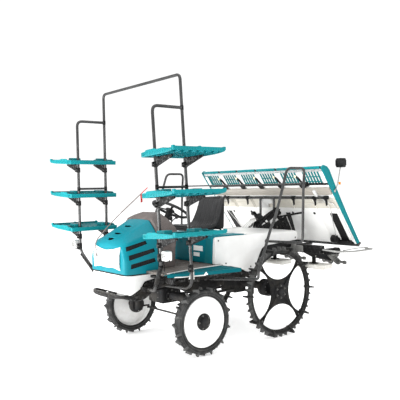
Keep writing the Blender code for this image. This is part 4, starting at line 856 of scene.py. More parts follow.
HOOD_ROWS = (
    # x, half foot, half shoulder, shoulder level, crown level
    (1.34, 0.335, 0.302, 1.168, 1.29),
    (1.42, 0.335, 0.3, 1.15, 1.248),
    (1.52, 0.335, 0.296, 1.126, 1.196),
    (1.64, 0.33, 0.285, 1.092, 1.128),
    (1.7035, 0.322, 0.268, 1.056, 1.082))
HOOD_STATIONS = (
    # x, how far the section draws in
    (1.34, 0.0), (1.352, 0.0), (1.4, 0.0), (1.45, 0.0), (1.5, 0.0), (1.55, 0.0), (1.6, 0.0), (1.64, 0.0),
    (1.662, 0.0005), (1.678, 0.003), (1.69, 0.008), (1.698, 0.015), (1.7015, 0.024), (1.7025, 0.036),
    (1.7025, 0.06), (1.7015, 0.14), (1.701, 0.33))
HOOD_SLOTS = (
    # front x, low, high, rear x, low, high
    (1.672, 1.008, 1.05, 1.45, 1.06, 1.098),
    (1.66, 0.925, 0.972, 1.37, 0.982, 1.022),
    (1.646, 0.846, 0.89, 1.37, 0.888, 0.932))


def between(table, x):
    """A table's columns at x."""
    for before, after in zip(table, table[1:]):
        if x <= after[0]:
            share = (x - before[0]) / (after[0] - before[0])
            return [a + (b - a) * share for a, b in zip(before[1:], after[1:])]
    return table[-1][1:]


def hood_section(x, inset):
    """Half of the bonnet's section at x, from the crown to the foot."""
    foot, shoulder, level, crown = between(HOOD_ROWS, x)
    corners = [(0, 0.0, crown), (0, 0.62 * shoulder, crown - 0.01), (0, shoulder, level), (0, foot, 0.925),
               (0, foot - 0.002, 0.79)]
    points = []
    for point in bent(corners, 0.03, 6):
        y = point.y * max(0.0, 1 - inset / foot)
        z = point.z + 0.1 * min(inset, 0.036)
        if point.z > 0.93:
            z = 0.93 + (point.z - 0.93) * max(0.0, 1 - inset / 0.14)
        points.append((y, z))
    return points


def hood_skin(wall, inset=0.0, first=0, last=len(HOOD_STATIONS)):
    """The bonnet's form, drawn in by an inset, between two of its stations."""
    stations = HOOD_STATIONS[first:last]
    sections = [hood_section(x, draw + inset) for x, draw in stations]
    count = len(sections[0]) - 1

    def place(u, v):
        station = round(u * (len(stations) - 1))
        index = round((2 * v - 1) * count)
        y, z = sections[station][abs(index)]
        return (stations[station][0] - inset, copysign(y, index) if index else 0.0, z)
    return walled(skin(len(stations) - 1, 2 * count, place), wall)


def hood():
    """The bonnet with its six side slots, three top vents and a lining of dark mesh."""
    shell = hood_skin(0.005)
    modified(shell, "SUBSURF", levels=1, render_levels=1)
    cutters = []
    for fx, fl, fh, rx, rl, rh in HOOD_SLOTS:
        cutters.append(panel([(fx, fl), (fx - 0.004, fh), (rx + 0.012, rh), (rx, rl + 0.006)], 0.24, 0.36))
    shell = carved(shell, both(joined(cutters)))
    vents = []
    for x, half, z in ((1.655, 0.052, 1.121), (1.578, 0.06, 1.162), (1.462, 0.066, 1.226)):
        vents.append(panel([(x - 0.013, -half), (x + 0.013, -half * 0.7), (x + 0.018, 0),
                            (x + 0.013, half * 0.7), (x - 0.013, half), (x - 0.017, 0)], z - 0.04, z + 0.04,
                           "xy"))
    shell = carved(shell, joined(vents))
    dress(shell, "bonnet", "hood", TEAL, "hood", angle=40)
    lining = hood_skin(0.003, 0.011, 0, 10)
    dress(lining, "bonnet_lining", "hood", BLACK_PLASTIC)
    slats = []
    for fx, fl, fh, rx, rl, rh in HOOD_SLOTS:
        for step in range(1, 14):
            share = step / 14
            x, low, high = fx + (rx - fx) * share, fl + (rl - fl) * share, fh + (rh - fh) * share
            foot, shoulder, level, crown = between(HOOD_ROWS, x)
            y = (foot - 0.007 if high < 0.93 else
                 foot - 0.007 - (foot - shoulder) * (high - 0.925) / (level - 0.925))
            slats.append(bar((x, y - 0.001, low), (x, y - 0.003, high), 0.0018, 6))
    dress(both(joined(slats)), "slot_mesh", "hood", BLACK_PLASTIC)
    half = hood_section(1.344, 0.004)
    hoop = [(1.344, -y, z) for y, z in reversed(half[1:])] + [(1.344, y, z) for y, z in half]
    foot = [(x, hood_section(x, draw)[-1][0] - 0.002, 0.7915) for x, draw in HOOD_STATIONS[:11]]
    dress(joined([tube(hoop, 0.0035, 0.004), both(tube(foot, 0.0028, 0.004))]), "bonnet_seal", "hood", HOSE)


def lamp_panel():
    """The white nose panel with its lamps, each behind a clear lens."""
    def outline(draw=0.0):
        half = []
        for y, z in ((0.0, 1.009), (0.045, 1.011), (0.09, 1.0165), (0.15, 1.0275), (0.205, 1.0395),
                     (0.246, 1.048), (0.25, 1.0455), (0.2385, 1.008), (0.2235, 0.968), (0.2135, 0.93),
                     (0.2155, 0.898), (0.2265, 0.864), (0.2415, 0.835), (0.238, 0.832), (0.205, 0.836),
                     (0.16, 0.8455), (0.12, 0.85), (0.06, 0.845), (0.0, 0.8425)):
            half.append((y * (1 - draw / 0.23), 0.935 + (z - 0.935) * (1 - draw / 0.1)))
        return half + [(-y, z) for y, z in reversed(half[1:-1])]
    plate = recessed(panel(outline(), 1.7003, 1.7103, "yz", 0.003, 3), lambda c, n: n.x > 0.95
                     and c.x > 1.7098, (0.007, 0.0022))
    shape = ((0.07, 0.995), (0.15, 1.006), (0.212, 1.02), (0.205, 0.985), (0.188, 0.94), (0.15, 0.932),
             (0.088, 0.938), (0.064, 0.958))
    plate = carved(plate, both(panel(shape, 1.7045, 1.72, "yz")))
    lens = panel([(y * 0.985 + 0.002, 0.968 + (z - 0.968) * 0.95) for y, z in shape], 1.7062, 1.7092, "yz",
                 0.001)
    cups = [turned([(0.0005, -0.001), (radius * 0.5, -0.0008), (radius, 0.0012), (radius + 0.001, 0.0004),
                    (radius * 0.5, -0.0016), (0.0005, -0.0018)], (1.7056, y, z), "X", 32) for y, z,
            radius in ((0.112, 0.967, 0.024), (0.166, 0.975, 0.022))]
    small = turned([(0.0005, 0.0), (0.015, 0.0), (0.0175, -0.0012), (0.019, 0.0), (0.0175, 0.0016),
                    (0.0155, 0.0008), (0.0005, 0.0008)], (1.7092, 0.1985, 0.868), "X", 32)
    ears = [block((1.7055, y, 0.918), (1.7285, y + 0.006, 0.942), 0.0025) for y in (-0.1933, -0.1627)]
    dress(joined([plate, both(small)] + ears), "nose_panel", "hood", WHITE, "headlamp_panel")
    dress(both(lens), "headlamp_lenses", "hood", LENS)
    dress(both(joined(cups)), "headlamp_reflectors", "hood", MIRROR)


def sighting_rod():
    """The thin rod that folds back over the bonnet, its tip red, with a hanging marker ribbon."""
    route = bent([(1.722, -0.175, 0.93), (1.727, -0.185, 1.08), (1.478, -0.2, 1.3), (1.094, -0.2, 1.594)],
                 0.09, 8)
    share = 0.74
    start, end = Vector(route[-2]), Vector(route[-1])
    split = start.lerp(end, share)
    barrel = across(1.722, 0.93, -0.1865, -0.1635, 0.0065, 20)
    rod = tube([tuple(p) for p in route[:-1]] + [tuple(split)], 0.005, 0.001)
    dress(joined([rod, barrel]), "sighting_rod", "sighting_rod", ROD_COAT, "marker_rod")
    tip = tube([tuple(split), tuple(end)], 0.0049, 0.001)
    tag = skin(10, 4, lambda u, v: (split.x - 0.004 + (v - 0.5) * 0.022 + 0.006 * sin(5 * u),
            split.y - 0.003 + 0.01 * sin(4 * u), split.z - 0.004 - 0.085 * u), 0.0012, 0.0)
    dress(joined([tip, tag]), "sighting_tip", "sighting_rod", RED)


# Front skirt, dash, steering and seat


def front_skirt():
    """The white skirt under the bonnet, wrapped round the nose, its lower edge arched for the wheels."""
    edge = ((1.3, 0.752), (1.36, 0.744), (1.43, 0.733), (1.505, 0.722), (1.526, 0.694), (1.545, 0.662),
            (1.59, 0.638), (1.63, 0.618), (1.66, 0.606), (1.7, 0.62))

    def low_at(x):
        for (ax, az), (bx, bz) in zip(edge, edge[1:]):
            if x <= bx:
                return az + (bz - az) * max(0.0, (x - ax) / (bx - ax))
        return edge[-1][1]
    route = [Vector((x, 0.339, 0)) for x in (1.36, 1.39, 1.43, 1.47, 1.505, 1.518, 1.53, 1.545, 1.57, 1.6,
            1.63)]
    for step in range(1, 9):
        turn = radians(90 * step / 8)
        route.append(Vector((1.63 + 0.07 * sin(turn), 0.269 + 0.07 * cos(turn), 0)))
    route += [Vector((1.7, y, 0)) for y in (0.2, 0.13, 0.06, 0.0)]
    route += [Vector((p.x, -p.y, 0)) for p in reversed(route[:-1])]
    last = len(route) - 1

    def place(u, v):
        point = route[round(u * last)]
        low = low_at(point.x)
        swell = 0.003 * sin(pi * v)
        outward = 1 if point.y > 0 else -1
        return (point.x - 0.003 + swell, point.y - outward * (0.003 - swell) if point.y else 0.0,
                low + (0.784 - low) * v)
    piece = eased(walled(skin(last, 8, place), 0.007), 0.0022, 2, 50)
    seats = both(block((1.616, 0.185, 0.6805), (1.7, 0.215, 0.7), 0.002))
    dress(joined([piece, seats]), "front_skirt_moulding", "chassis", WHITE, "front_skirt", angle=45)


def dash():
    """The sloped dashboard with its cowl, gauges and hand levers."""
    outline = [(1.334, 0.82), (1.334, 1.288), (1.29, 1.32), (1.225, 1.352), (1.175, 1.346), (1.13, 1.25),
               (1.085, 1.16), (1.11, 1.0), (1.12, 0.82)]
    body = panel(outline, -0.3, 0.3)
    half = [(0.3, 0.7), (0.3, 1.2), (0.27, 1.245), (0.215, 1.298), (0.16, 1.33), (0.1, 1.352), (0.05, 1.36)]
    crown = panel(half + [(-y, z) for y, z in reversed(half)], 1.05, 1.36, "yz")
    body = carved(body, crown, "INTERSECT")
    eased(body, 0.014, 3, 28)
    binnacle = panel([(1.196, 1.33), (1.11, 1.2), (1.15, 1.18), (1.228, 1.32)], -0.105, 0.105, "xz", 0.008, 2)
    shelf = block((1.1, -0.275, 0.985), (1.13, 0.275, 1.005), 0.006)
    dress(joined([body, binnacle, shelf]), "dash_moulding", "chassis", DASH, "dash")
    lean = Matrix.Translation((1.145, 0, 1.256)) @ Matrix.Rotation(radians(-57), 4, "Y")
    faces, rings, glow = [], [], []
    for y, radius in ((-0.055, 0.04), (0.05, 0.032)):
        ring = turned([(radius, -0.002), (radius + 0.006, -0.002), (radius + 0.006, 0.008),
                       (radius + 0.002, 0.01), (radius, 0.006)], (0, 0, 0), "Z", 40)
        dial = turned([(0.0005, 0), (radius, 0), (radius, 0.003), (0.0005, 0.003)], (0, 0, 0), "Z", 40)
        needle = block((-0.002, 0, 0.003), (0.002, radius * 0.8, 0.0045))
        for piece, group in ((ring, rings), (dial, faces), (needle, glow)):
            piece.data.transform(lean @ Matrix.Translation((0, y, 0.01)))
            group.append(piece)
    dress(joined(rings), "gauge_bezels", "chassis", STEEL)
    dress(joined(faces), "gauge_faces", "chassis", BLACK_PLASTIC, slot="lamp_housing")
    dress(joined(glow), "gauge_needles", "chassis", RED)
    levers, knobs = [], []
    for y, lean_y, length, reach in ((0.235, 0.01, 0.075, -0.075), (-0.235, -0.03, 0.09, -0.07),
            (0.17, 0.0, 0.06, -0.06)):
        foot = Vector((1.128, y, 1.225))
        head = foot + Vector((reach, lean_y, length))
        levers.append(tube([tuple(foot), tuple(foot.lerp(head, 0.5) + Vector((0.012, 0, 0))), tuple(head)],
                           0.0055, 0.04))
        knobs.append(turned([(0.0005, -0.022), (0.011, -0.02), (0.0165, -0.004), (0.0165, 0.008),
                             (0.01, 0.02), (0.0005, 0.023)], head, "Z", 24))
        levers.append(turned([(0.0005, 0), (0.026, 0), (0.018, 0.014), (0.009, 0.022), (0.0005, 0.022)],
                             foot - Vector((0, 0, 0.004)), "Z", 24))
    dress(joined(levers), "hand_levers", "chassis", BLACK_GLOSS)
    dress(joined(knobs), "lever_knobs", "chassis", GRIP)
    tilt = Vector((sin(STEERING_TILT), 0, -cos(STEERING_TILT)))
    top = Vector(STEERING) + tilt * 0.03
    shroud = bar(top, Vector(STEERING) + tilt * 0.235, 0.03, 28, tip=0.04, edge=0.004)
    bellows = []
    for step in range(5):
        at = Vector(STEERING) + tilt * (0.175 + 0.014 * step)
        bellows.append(bar(at, at + tilt * 0.009, 0.043 + 0.003 * step, 28, tip=0.045 + 0.003 * step,
                           edge=0.002))
    stalk = bar(top + tilt * 0.05, top + tilt * 0.05 + Vector((0.0, 0.15, 0.02)), 0.0045, 12)
    dress(joined([shroud, stalk] + bellows), "column_shroud", "chassis", BLACK_PLASTIC)


def steering_wheel():
    """Three-spoke wheel with a moulded grip, finger ridges under the rim and a capped boss."""
    ring = turned([(0.19 + 0.0132 * cos(radians(a)), 0.0132 * sin(radians(a)) * 1.05)
                   for a in range(0, 360, 24)], (0, 0, 0), "Z", 96)
    ridges = []
    for index in range(36):
        turn = radians(10 * index)
        at = Vector((0.19 * cos(turn), 0.19 * sin(turn), -0.0115))
        ridge = block(at - Vector((0.0035, 0.008, 0.003)), at + Vector((0.0035, 0.008, 0.003)), 0.0015, 1)
        ridge.data.transform(Matrix.Translation(at) @ Matrix.Rotation(turn + pi / 2, 4,
                "Z") @ Matrix.Translation(-at))
        ridges.append(ridge)
    boss = turned([(0.0005, -0.04), (0.026, -0.04), (0.032, -0.03), (0.046, -0.022), (0.05, -0.01),
                   (0.046, -0.001), (0.038, 0.004), (0.0005, 0.007)], (0, 0, 0), "Z", 48)
    spokes = []
    for index in range(3):
        spoke = panel([(0.04, -0.017), (0.11, -0.0105), (0.183, -0.015), (0.183, 0.015), (0.11, 0.0105),
                       (0.04, 0.017)], -0.0165, -0.0075, "xy", 0.003, 2)
        spoke.data.transform(Matrix.Rotation(radians(180 + 120 * index), 4, "Z"))
        spokes.append(spoke)
    wheel = joined([ring, boss] + ridges)
    place = Matrix.Translation(STEERING) @ Matrix.Rotation(-STEERING_TILT, 4, "Y")
    spokes = joined(spokes)
    for piece in (wheel, spokes):
        piece.data.transform(place)
    dress(wheel, "steering_rim", "steering_wheel", GRIP, "steering_wheel")
    dress(spokes, "steering_spokes", "steering_wheel", BLACK_PLASTIC)


def swollen(piece, cap):
    """The pad blown up a little, as upholstery over foam, no point moving further than the cap."""
    modified(piece, "REMESH", mode="VOXEL", voxel_size=0.0062)
    modified(piece, "SMOOTH", factor=0.5, iterations=3)
    rest = [point.co.copy() for point in piece.data.vertices]
    taken(piece)
    cloth = piece.modifiers.new("upholstery", "CLOTH")
    cloth.settings.use_pressure = True
    cloth.settings.uniform_pressure_force = 4.0
    cloth.settings.effector_weights.gravity = 0
    cloth.settings.tension_stiffness = 22
    cloth.settings.compression_stiffness = 22
    for number in range(1, 21):
        bpy.context.scene.frame_set(number)
    bpy.ops.object.modifier_apply(modifier=cloth.name)
    for point, home in zip(piece.data.vertices, rest):
        moved = point.co - home
        if moved.length > cap:
            point.co = home + moved.normalized() * cap
    bpy.context.scene.frame_set(1)
    return piece


def seat():
    """The bucket seat: a ribbed pad and back in grained vinyl on a dark shell, with its hinge and rails."""
    base = 1.0903

    def seat_line(s):
        """Front edge, cushion, hollow and back of the seat's middle line, s from 0 to 1."""
        knots = ((0.845, 0.062), (0.835, 0.092), (0.76, 0.092), (0.66, 0.08), (0.56, 0.08), (0.5, 0.112),
                 (0.465, 0.18), (0.435, 0.26), (0.408, 0.34), (0.385, 0.392), (0.352, 0.402))
        place = s * (len(knots) - 1)
        index = min(int(place), len(knots) - 2)
        t = place - index
        a, b, c, d = [Vector(knots[max(0, min(len(knots) - 1, index + k))]) for k in (-1, 0, 1, 2)]
        return ((2 * b) + (c - a) * t + (2 * a - 5 * b + 4 * c - d) * t * t
                + (3 * b - a - 3 * c + d) * t ** 3) / 2

    def pad_point(u, v, lift):
        """A point of the pad, with bolsters at its sides and its back drawn in towards the top."""
        off_middle = 2 * v - 1
        line = seat_line(u)
        ahead = seat_line(min(1, u + 0.02)) - seat_line(max(0, u - 0.02))
        normal = Vector((ahead.y, -ahead.x)).normalized()
        if normal.y < 0 and u < 0.5:
            normal = -normal
        if normal.x <= -0.2:
            normal = -normal
        rise = lift + 0.03 * (max(0.0, abs(off_middle) - 0.55) / 0.45) ** 1.5
        half = 0.205 * (1.0 - 0.1 * max(0.0, u - 0.55) - 0.05 * max(0.0, 0.2 - u))
        return (line.x + normal.x * rise, half * off_middle, base + line.y + normal.y * rise)

    pad = swollen(walled(skin(40, 28, lambda u, v: pad_point(0.02 + 0.96 * u, v, -0.012)), 0.026), 0.009)
    normals = [point.normal.copy() for point in pad.data.vertices]
    for point, normal in zip(pad.data.vertices, normals):
        if normal.x > 0.15 or normal.z > 0.35:
            y = abs(point.co.y)
            channels = ((0.0045, 0.118, 0.006), (0.003, 0.04, 0.005)) if y < 0.115 else ((0.0045, 0.118,
                    0.006),)
            point.co -= normal * sum(depth * exp(-((y - at) / width) ** 2) for depth, at, width in channels)
    modified(pad, "SUBSURF", levels=1, render_levels=1)
    dress(pad, "seat_pad", "chassis", VINYL, "seat", angle=80)
    shell = walled(skin(36, 20, lambda u, v: pad_point(u, v, -0.034)), 0.008)
    rails = both(block((0.52, 0.106, base + 0.0002), (0.77, 0.134, base + 0.022), 0.003))
    hinge = across(0.505, base + 0.03, -0.15, 0.15, 0.011, 20)
    brackets = both(panel([(0.48, base + 0.0002), (0.54, base + 0.0002), (0.53, base + 0.052),
                           (0.492, base + 0.052)], 0.137, 0.143, "xz", 0.001))
    rear = panel([(x, base + rise) for x, rise in ((0.358, 0.392), (0.372, 0.07), (0.385, 0.052),
            (0.47, 0.048), (0.5, 0.085), (0.462, 0.165), (0.43, 0.25), (0.402, 0.335), (0.378, 0.392))],
                 -0.176, 0.176, "xz", 0.012, 3)
    arch = tube([(0.4, -0.15, base + 0.004), (0.4, -0.15, base + 0.05), (0.4, 0.15, base + 0.05),
                 (0.4, 0.15, base + 0.004)], 0.009, 0.035)
    dress(joined([shell, hinge, rear, arch, rails, brackets]), "seat_shell", "chassis", BLACK_PLASTIC)
    lever = tube([(0.75, -0.245, base + 0.002), (0.75, -0.248, base + 0.06), (0.76, -0.25, base + 0.15)],
                 0.006, 0.03)
    knob = turned([(0.0005, -0.02), (0.01, -0.018), (0.016, 0.0), (0.011, 0.016), (0.0005, 0.02)],
                  (0.761, -0.25, base + 0.16), "Z", 24)
    dress(joined([lever, knob]), "side_lever", "chassis", GRIP)


# Seat box, fenders and deck


def seat_box():
    """The teal box under the seat with rounded corners, a service lid, two blank plates and louvres, its front
    band and louvres in a darker teal as painted shade.
    """
    body = panel([(0.3, 0.8204), (0.7675, 0.8204), (0.7675, 1.072), (0.758, 1.0895), (0.3, 1.0895)], -0.4545,
                 0.4545, "xz", 0.01, 3)
    lid = block((0.7655, -0.3, 0.845), (0.77, 0.1, 1.06), 0.0015, 1)
    handle = block((0.769, -0.14, 1.02), (0.774, -0.06, 1.042), 0.002, 2)
    rim = both(block((0.345, 0.262, 1.0885), (0.755, 0.454, 1.1), 0.004, 3))
    dress(joined([body, lid, handle, rim]), "seat_box_moulding", "chassis", TEAL, "seat_box", angle=40)
    labels = [block((0.767, 0.14, 0.94), (0.7684, 0.292, 0.992), 0.0004, 1), block((0.767, 0.14, 0.882),
            (0.7684, 0.24, 0.922), 0.0004, 1)]
    dress(joined(labels), "blank_plates", "chassis", WHITE_PAINTED_LIGHT)
    # Painted shade: the band beside the plates and its louvre slots are in the darker teal.
    band = panel([(0.315, 0.826), (0.43, 0.826), (0.43, 1.075), (0.35, 1.075)], 0.7672, 0.7682, "yz", 0.0004)
    slots = [block((0.7672, 0.33, 0.85 + 0.024 * k), (0.769, 0.415, 0.86 + 0.024 * k), 0.0006, 1)
             for k in range(5)]
    dress(joined([band] + slots), "seat_box_painted_shade_panel", "chassis", TEAL_PAINTED_SHADE)
    latches = [bolt((0.7695, y, z), (1, 0, 0), 0.006, 0.004) for y in (-0.285, 0.085) for z in (0.86, 1.045)]
    dress(joined(latches), "lid_screws", "chassis", BOLTS)


FENDER = ((0.741, 1.0885), (0.757, 1.083), (0.767, 1.068), (0.7745, 0.98), (0.7825, 0.862), (0.7825, 0.826),
          (0.772, 0.8212), (0.706, 0.8208), (0.695, 0.81), (0.672, 0.7985), (0.56, 0.787), (0.449, 0.757),
          (0.36, 0.722), (0.336, 0.708), (0.262, 0.716), (0.246, 0.728), (0.211, 0.795), (0.174, 0.863),
          (0.135, 0.927), (0.097, 0.953), (0.05, 0.959), (-0.41, 0.9862), (-0.4195, 0.998), (-0.4195, 1.07),
          (-0.4, 1.0885))


def fender(name, side):
    """One white side panel over the rear wheel, softly rounded, with a black lip round the arch and a black
    inner skin over the wheel; the lip is the fender's own black band, and the skin's black is painted shade
    under the fender.
    """
    outer = panel(FENDER, side * 0.4553, side * 0.5, "xz", 0.011, 4)
    dress(outer, f"fender_panel_{name}", "chassis", WHITE, f"fender_{name}", angle=40)
    arch = [(0.33, 0.7015), (0.258, 0.7095), (0.24, 0.722), (0.205, 0.79), (0.168, 0.858), (0.129, 0.921),
            (0.094, 0.9465), (0.05, 0.952), (-0.38, 0.9775)]

    def place(u, v):
        index = round(u * (len(route) - 1))
        x, z = route[index].x, route[index].z
        return (x, side * (0.3 + 0.196 * v), z)
    route = bent([(x, 0, z) for x, z in arch], 0.03, 3)
    # Painted shade: the skin under the arch is black to stand in for the shade beneath the fender.
    liner = walled(skin(len(route) - 1, 6, place), 0.006, 0.0, False)
    inner = []
    for x, z in arch:
        inward = (Vector((min(x, 0.0), 0.475)) - Vector((x, z))).normalized() * 0.06
        inner.append((x + inward.x, z + inward.y))
    lip = panel(list(arch) + list(reversed(inner)), side * 0.468, side * 0.4945, "xz", 0.003, 2)
    dress(joined([liner, lip]), f"arch_liner_{name}", "chassis", BLACK_PLASTIC, angle=40)
    clips = [bolt((x, side * 0.5, z), (0, side, 0), 0.006, 0.0035) for x, z in ((0.64, 0.822), (0.3, 0.76),
            (-0.385, 1.015), (0.735, 1.055))]
    dress(joined(clips), f"fender_clips_{name}", "chassis", BLACK_PLASTIC)


def rear_cover():
    """The white lid behind the seat, with a shallow tray and a raised panel in it."""
    cover = recessed(block((-0.4198, -0.4545, 1.0682), (0.2995, 0.4545, 1.09), 0.006, 3), lambda c,
                     n: n.z > 0.99, (0.045, 0.006), (0.012, -0.004))
    dress(cover, "rear_lid", "chassis", WHITE, "rear_cover")
    screws = [bolt((x, y, 1.0898), (0, 0, 1), 0.007, 0.0015) for x in (-0.385, 0.265) for y in (-0.41, 0.41)]
    dress(joined(screws), "rear_lid_screws", "chassis", BOLTS)


DECK_EDGE = ((0.7, 0.518), (1.03, 0.54), (1.46, 0.632), (1.49, 0.6))
STEP_EDGE = ((1.405, 0.65), (1.33, 0.69), (1.1, 0.745), (0.74, 0.805), (0.7, 0.795))


def deck():
    """The foot deck: studded mat with grip bars, its pale edge strips and pedals."""
    half = [(0.3, 0.0), (0.3, 0.4545), (0.7, 0.4545), *DECK_EDGE, (1.49, 0.347), (1.334, 0.347), (1.334, 0.0)]
    dress(both(panel(half, 0.7982, 0.82, "xy", 0.003, 2)), "deck_mat", "chassis", MAT, "deck")
    ribs = row(block((0.8, -0.3, 0.8195), (0.81, 0.3, 0.8225), 0.0012, 1), [(0.034 * k, 0, 0)
            for k in range(9)])
    dress(ribs, "deck_grip_bars", "chassis", MAT)
    strip = tube([(0.712, 0.5165, 0.8165), (1.03, 0.5385, 0.8165), (1.455, 0.63, 0.8165)], 0.0052, 0.03)
    dress(both(strip), "deck_edge_strips", "chassis", WHITE)
    pedals = []
    for y, x, z in ((-0.205, 1.055, 0.905), (-0.115, 1.06, 0.9), (0.15, 1.055, 0.905)):
        pad = block((-0.03, -0.034, -0.006), (0.03, 0.034, 0.006), 0.003)
        grooves = [block((-0.026 + 0.013 * k, -0.03, 0.005), (-0.02 + 0.013 * k, 0.03, 0.009), 0.001, 1)
                   for k in range(5)]
        pad = joined([pad] + grooves)
        pad.data.transform(Matrix.Translation((x, y, z)) @ Matrix.Rotation(radians(38), 4, "Y"))
        pedals.append(pad)
        pedals.append(tube([(x + 0.01, y, z - 0.008), (x + 0.055, y, z - 0.02), (x + 0.07, y, 0.812)], 0.006,
                           0.02))
    dress(joined(pedals), "pedals", "chassis", BLACK)


def side_step(name, side):
    """One outer step: teal tray with a rolled rim, tread bars and a pale lower edge."""
    outline = [(x, side * y) for x, y in DECK_EDGE[:3]] + [(x, side * y) for x, y in STEP_EDGE]
    tray = recessed(panel(outline, 0.7782, 0.812, "xy", 0.007, 3), lambda c, n: n.z > 0.99, (0.014, 0.004))
    dress(tray, f"side_step_{name}", "chassis", TEAL_STEP, f"step_{name}", angle=40)
    bars = []
    for index in range(15):
        x = 0.77 + 0.038 * index
        inner = 0.54 if x < 1.03 else 0.54 + 0.092 * (x - 1.03) / 0.43
        outer = 0.805 - 0.06 * (x - 0.74) / 0.36 if x < 1.1 else 0.745 - 0.055 * (x - 1.1) / 0.23
        low, high = sorted((side * (inner + 0.02), side * (outer - 0.022)))
        bars.append(block((x, low, 0.807), (x + 0.012, high, 0.8112), 0.0015, 1))
    dress(joined(bars), f"step_tread_{name}", "chassis", TEAL_STEP)
    strip = tube([(1.392, side * 0.654, 0.7805), (1.328, side * 0.688, 0.7805),
                  (1.102, side * 0.7425, 0.7805)], 0.0055, 0.02)
    dress(strip, f"step_lower_strip_{name}", "chassis", WHITE)
    plate = panel([(1.075, 0.782), (1.13, 0.782), (1.1, 0.811)], side * 0.7465, side * 0.748, "xz")
    dress(plate, f"blank_corner_plate_{name}", "chassis", WHITE_PAINTED_LIGHT)


# Seedling racks


def post_point(x, z):
    """A place on the left side's leaning posts."""
    return (x + LEAN_AHEAD * (z - POST_LEVEL), POST_Y - LEAN_IN * (z - POST_LEVEL), z)


def clamp(x, z, tall=0.05, radius=0.0205):
    """A split clamp round a post with its ear and bolt."""
    low, high = post_point(x, z - tall / 2), post_point(x, z + tall / 2)
    at = Vector(post_point(x, z))
    ear = block(at + Vector((0.012, -0.009, -tall / 2 + 0.004)),
                at + Vector((0.036, 0.009, tall / 2 - 0.004)), 0.002)
    return [bar(low, high, radius, 24, edge=0.002), ear], [bolt(at + Vector((0.025, 0.009, 0)), (0, 1, 0),
            0.0065, 0.006), bolt(at + Vector((0.025, -0.009, 0)), (0, -1, 0), 0.0065, 0.006)]


def racks():
    """Both racks: two leaning posts each, looped at the front and joined over the machine at the rear."""
    head = post_point(POST_REAR, RACK_TOP - 0.0022)
    front = [(1.51, 0.4403, 0.655), (1.51, 0.5, 0.655), post_point(POST_FRONT, 0.94),
             post_point(POST_FRONT, LOOP_TOP), post_point(POST_REAR, LOOP_TOP)]
    rear = [(1.262, 0.2253, 0.655), (1.262, 0.3, 0.655), (1.262, 0.69, 0.672), post_point(POST_REAR, 0.74),
            head, (head[0], 0.0002, head[2])]
    rails = bar(post_point(POST_FRONT, RACK_RAIL), post_point(POST_REAR, RACK_RAIL), 0.0112, 20)
    pair(joined([tube(front, RACK_TUBE, 0.06, round_steps=5), tube(rear, RACK_TUBE, 0.05, round_steps=5),
                 rails]), "rack_tubes", "chassis", SATIN_PAINTED_SHEEN, "rack_{}")
    elbow, foot = Vector(post_point(POST_FRONT, 0.925)), Vector((1.51, 0.5, 0.655))
    sleeve = bar(elbow.lerp(foot, 0.06), elbow.lerp(foot, 0.8), 0.0195, 24, edge=0.004)
    pair(sleeve, "post_sleeve", "chassis", BLACK)
    plate = panel([(1.236, 0.756), (1.3, 0.764), (1.286, 0.8), (1.262, 0.866), (1.242, 0.864)], 0.742, 0.7465,
                  "xz", 0.001)
    pair(plate, "blank_post_plate", "chassis", FLOAT_WHITE)
    clamps, bolts = [], []
    low_clamps = [(POST_FRONT, 0.985, 0.07, 0.019), (POST_REAR, 0.86, 0.07, 0.019)]
    for place in [(x, z - 0.058) for x in (POST_FRONT, POST_REAR) for z in SHELF_LEVELS] + low_clamps:
        collar, screws = clamp(*place)
        clamps += collar
        bolts += screws
    for x in (POST_FRONT, POST_REAR):
        clamps.append(bar(post_point(x, RACK_RAIL - 0.02), post_point(x, RACK_RAIL + 0.02), 0.0165, 24,
                          edge=0.002))
    clamps.append(bar(post_point(POST_REAR, LOOP_TOP - 0.02), post_point(POST_REAR, LOOP_TOP + 0.02), 0.0165,
                      24, edge=0.002))
    clamps += [block((1.47, 0.33, 0.634), (1.55, 0.4, 0.676), 0.004), block((1.24, 0.226, 0.632),
            (1.284, 0.238, 0.678), 0.003)]
    pair(joined(clamps), "rack_clamps", "chassis", BLACK)
    pair(joined(bolts), "rack_bolts", "chassis", DULL_BOLTS)


SHELF_STATIONS = (
    # how far outboard of the inner edge, level of the wall's top above the underside
    (0.0, 0.042), (0.072, 0.042), (0.092, 0.055), (0.21, 0.055), (0.235, 0.046), (0.33, 0.043), (0.4, 0.036),
    (0.455, 0.034), (0.4848, 0.045))


def shelf_wall(y):
    """Level of a shelf's wall at a distance outboard."""
    return between(SHELF_STATIONS, y)[0]


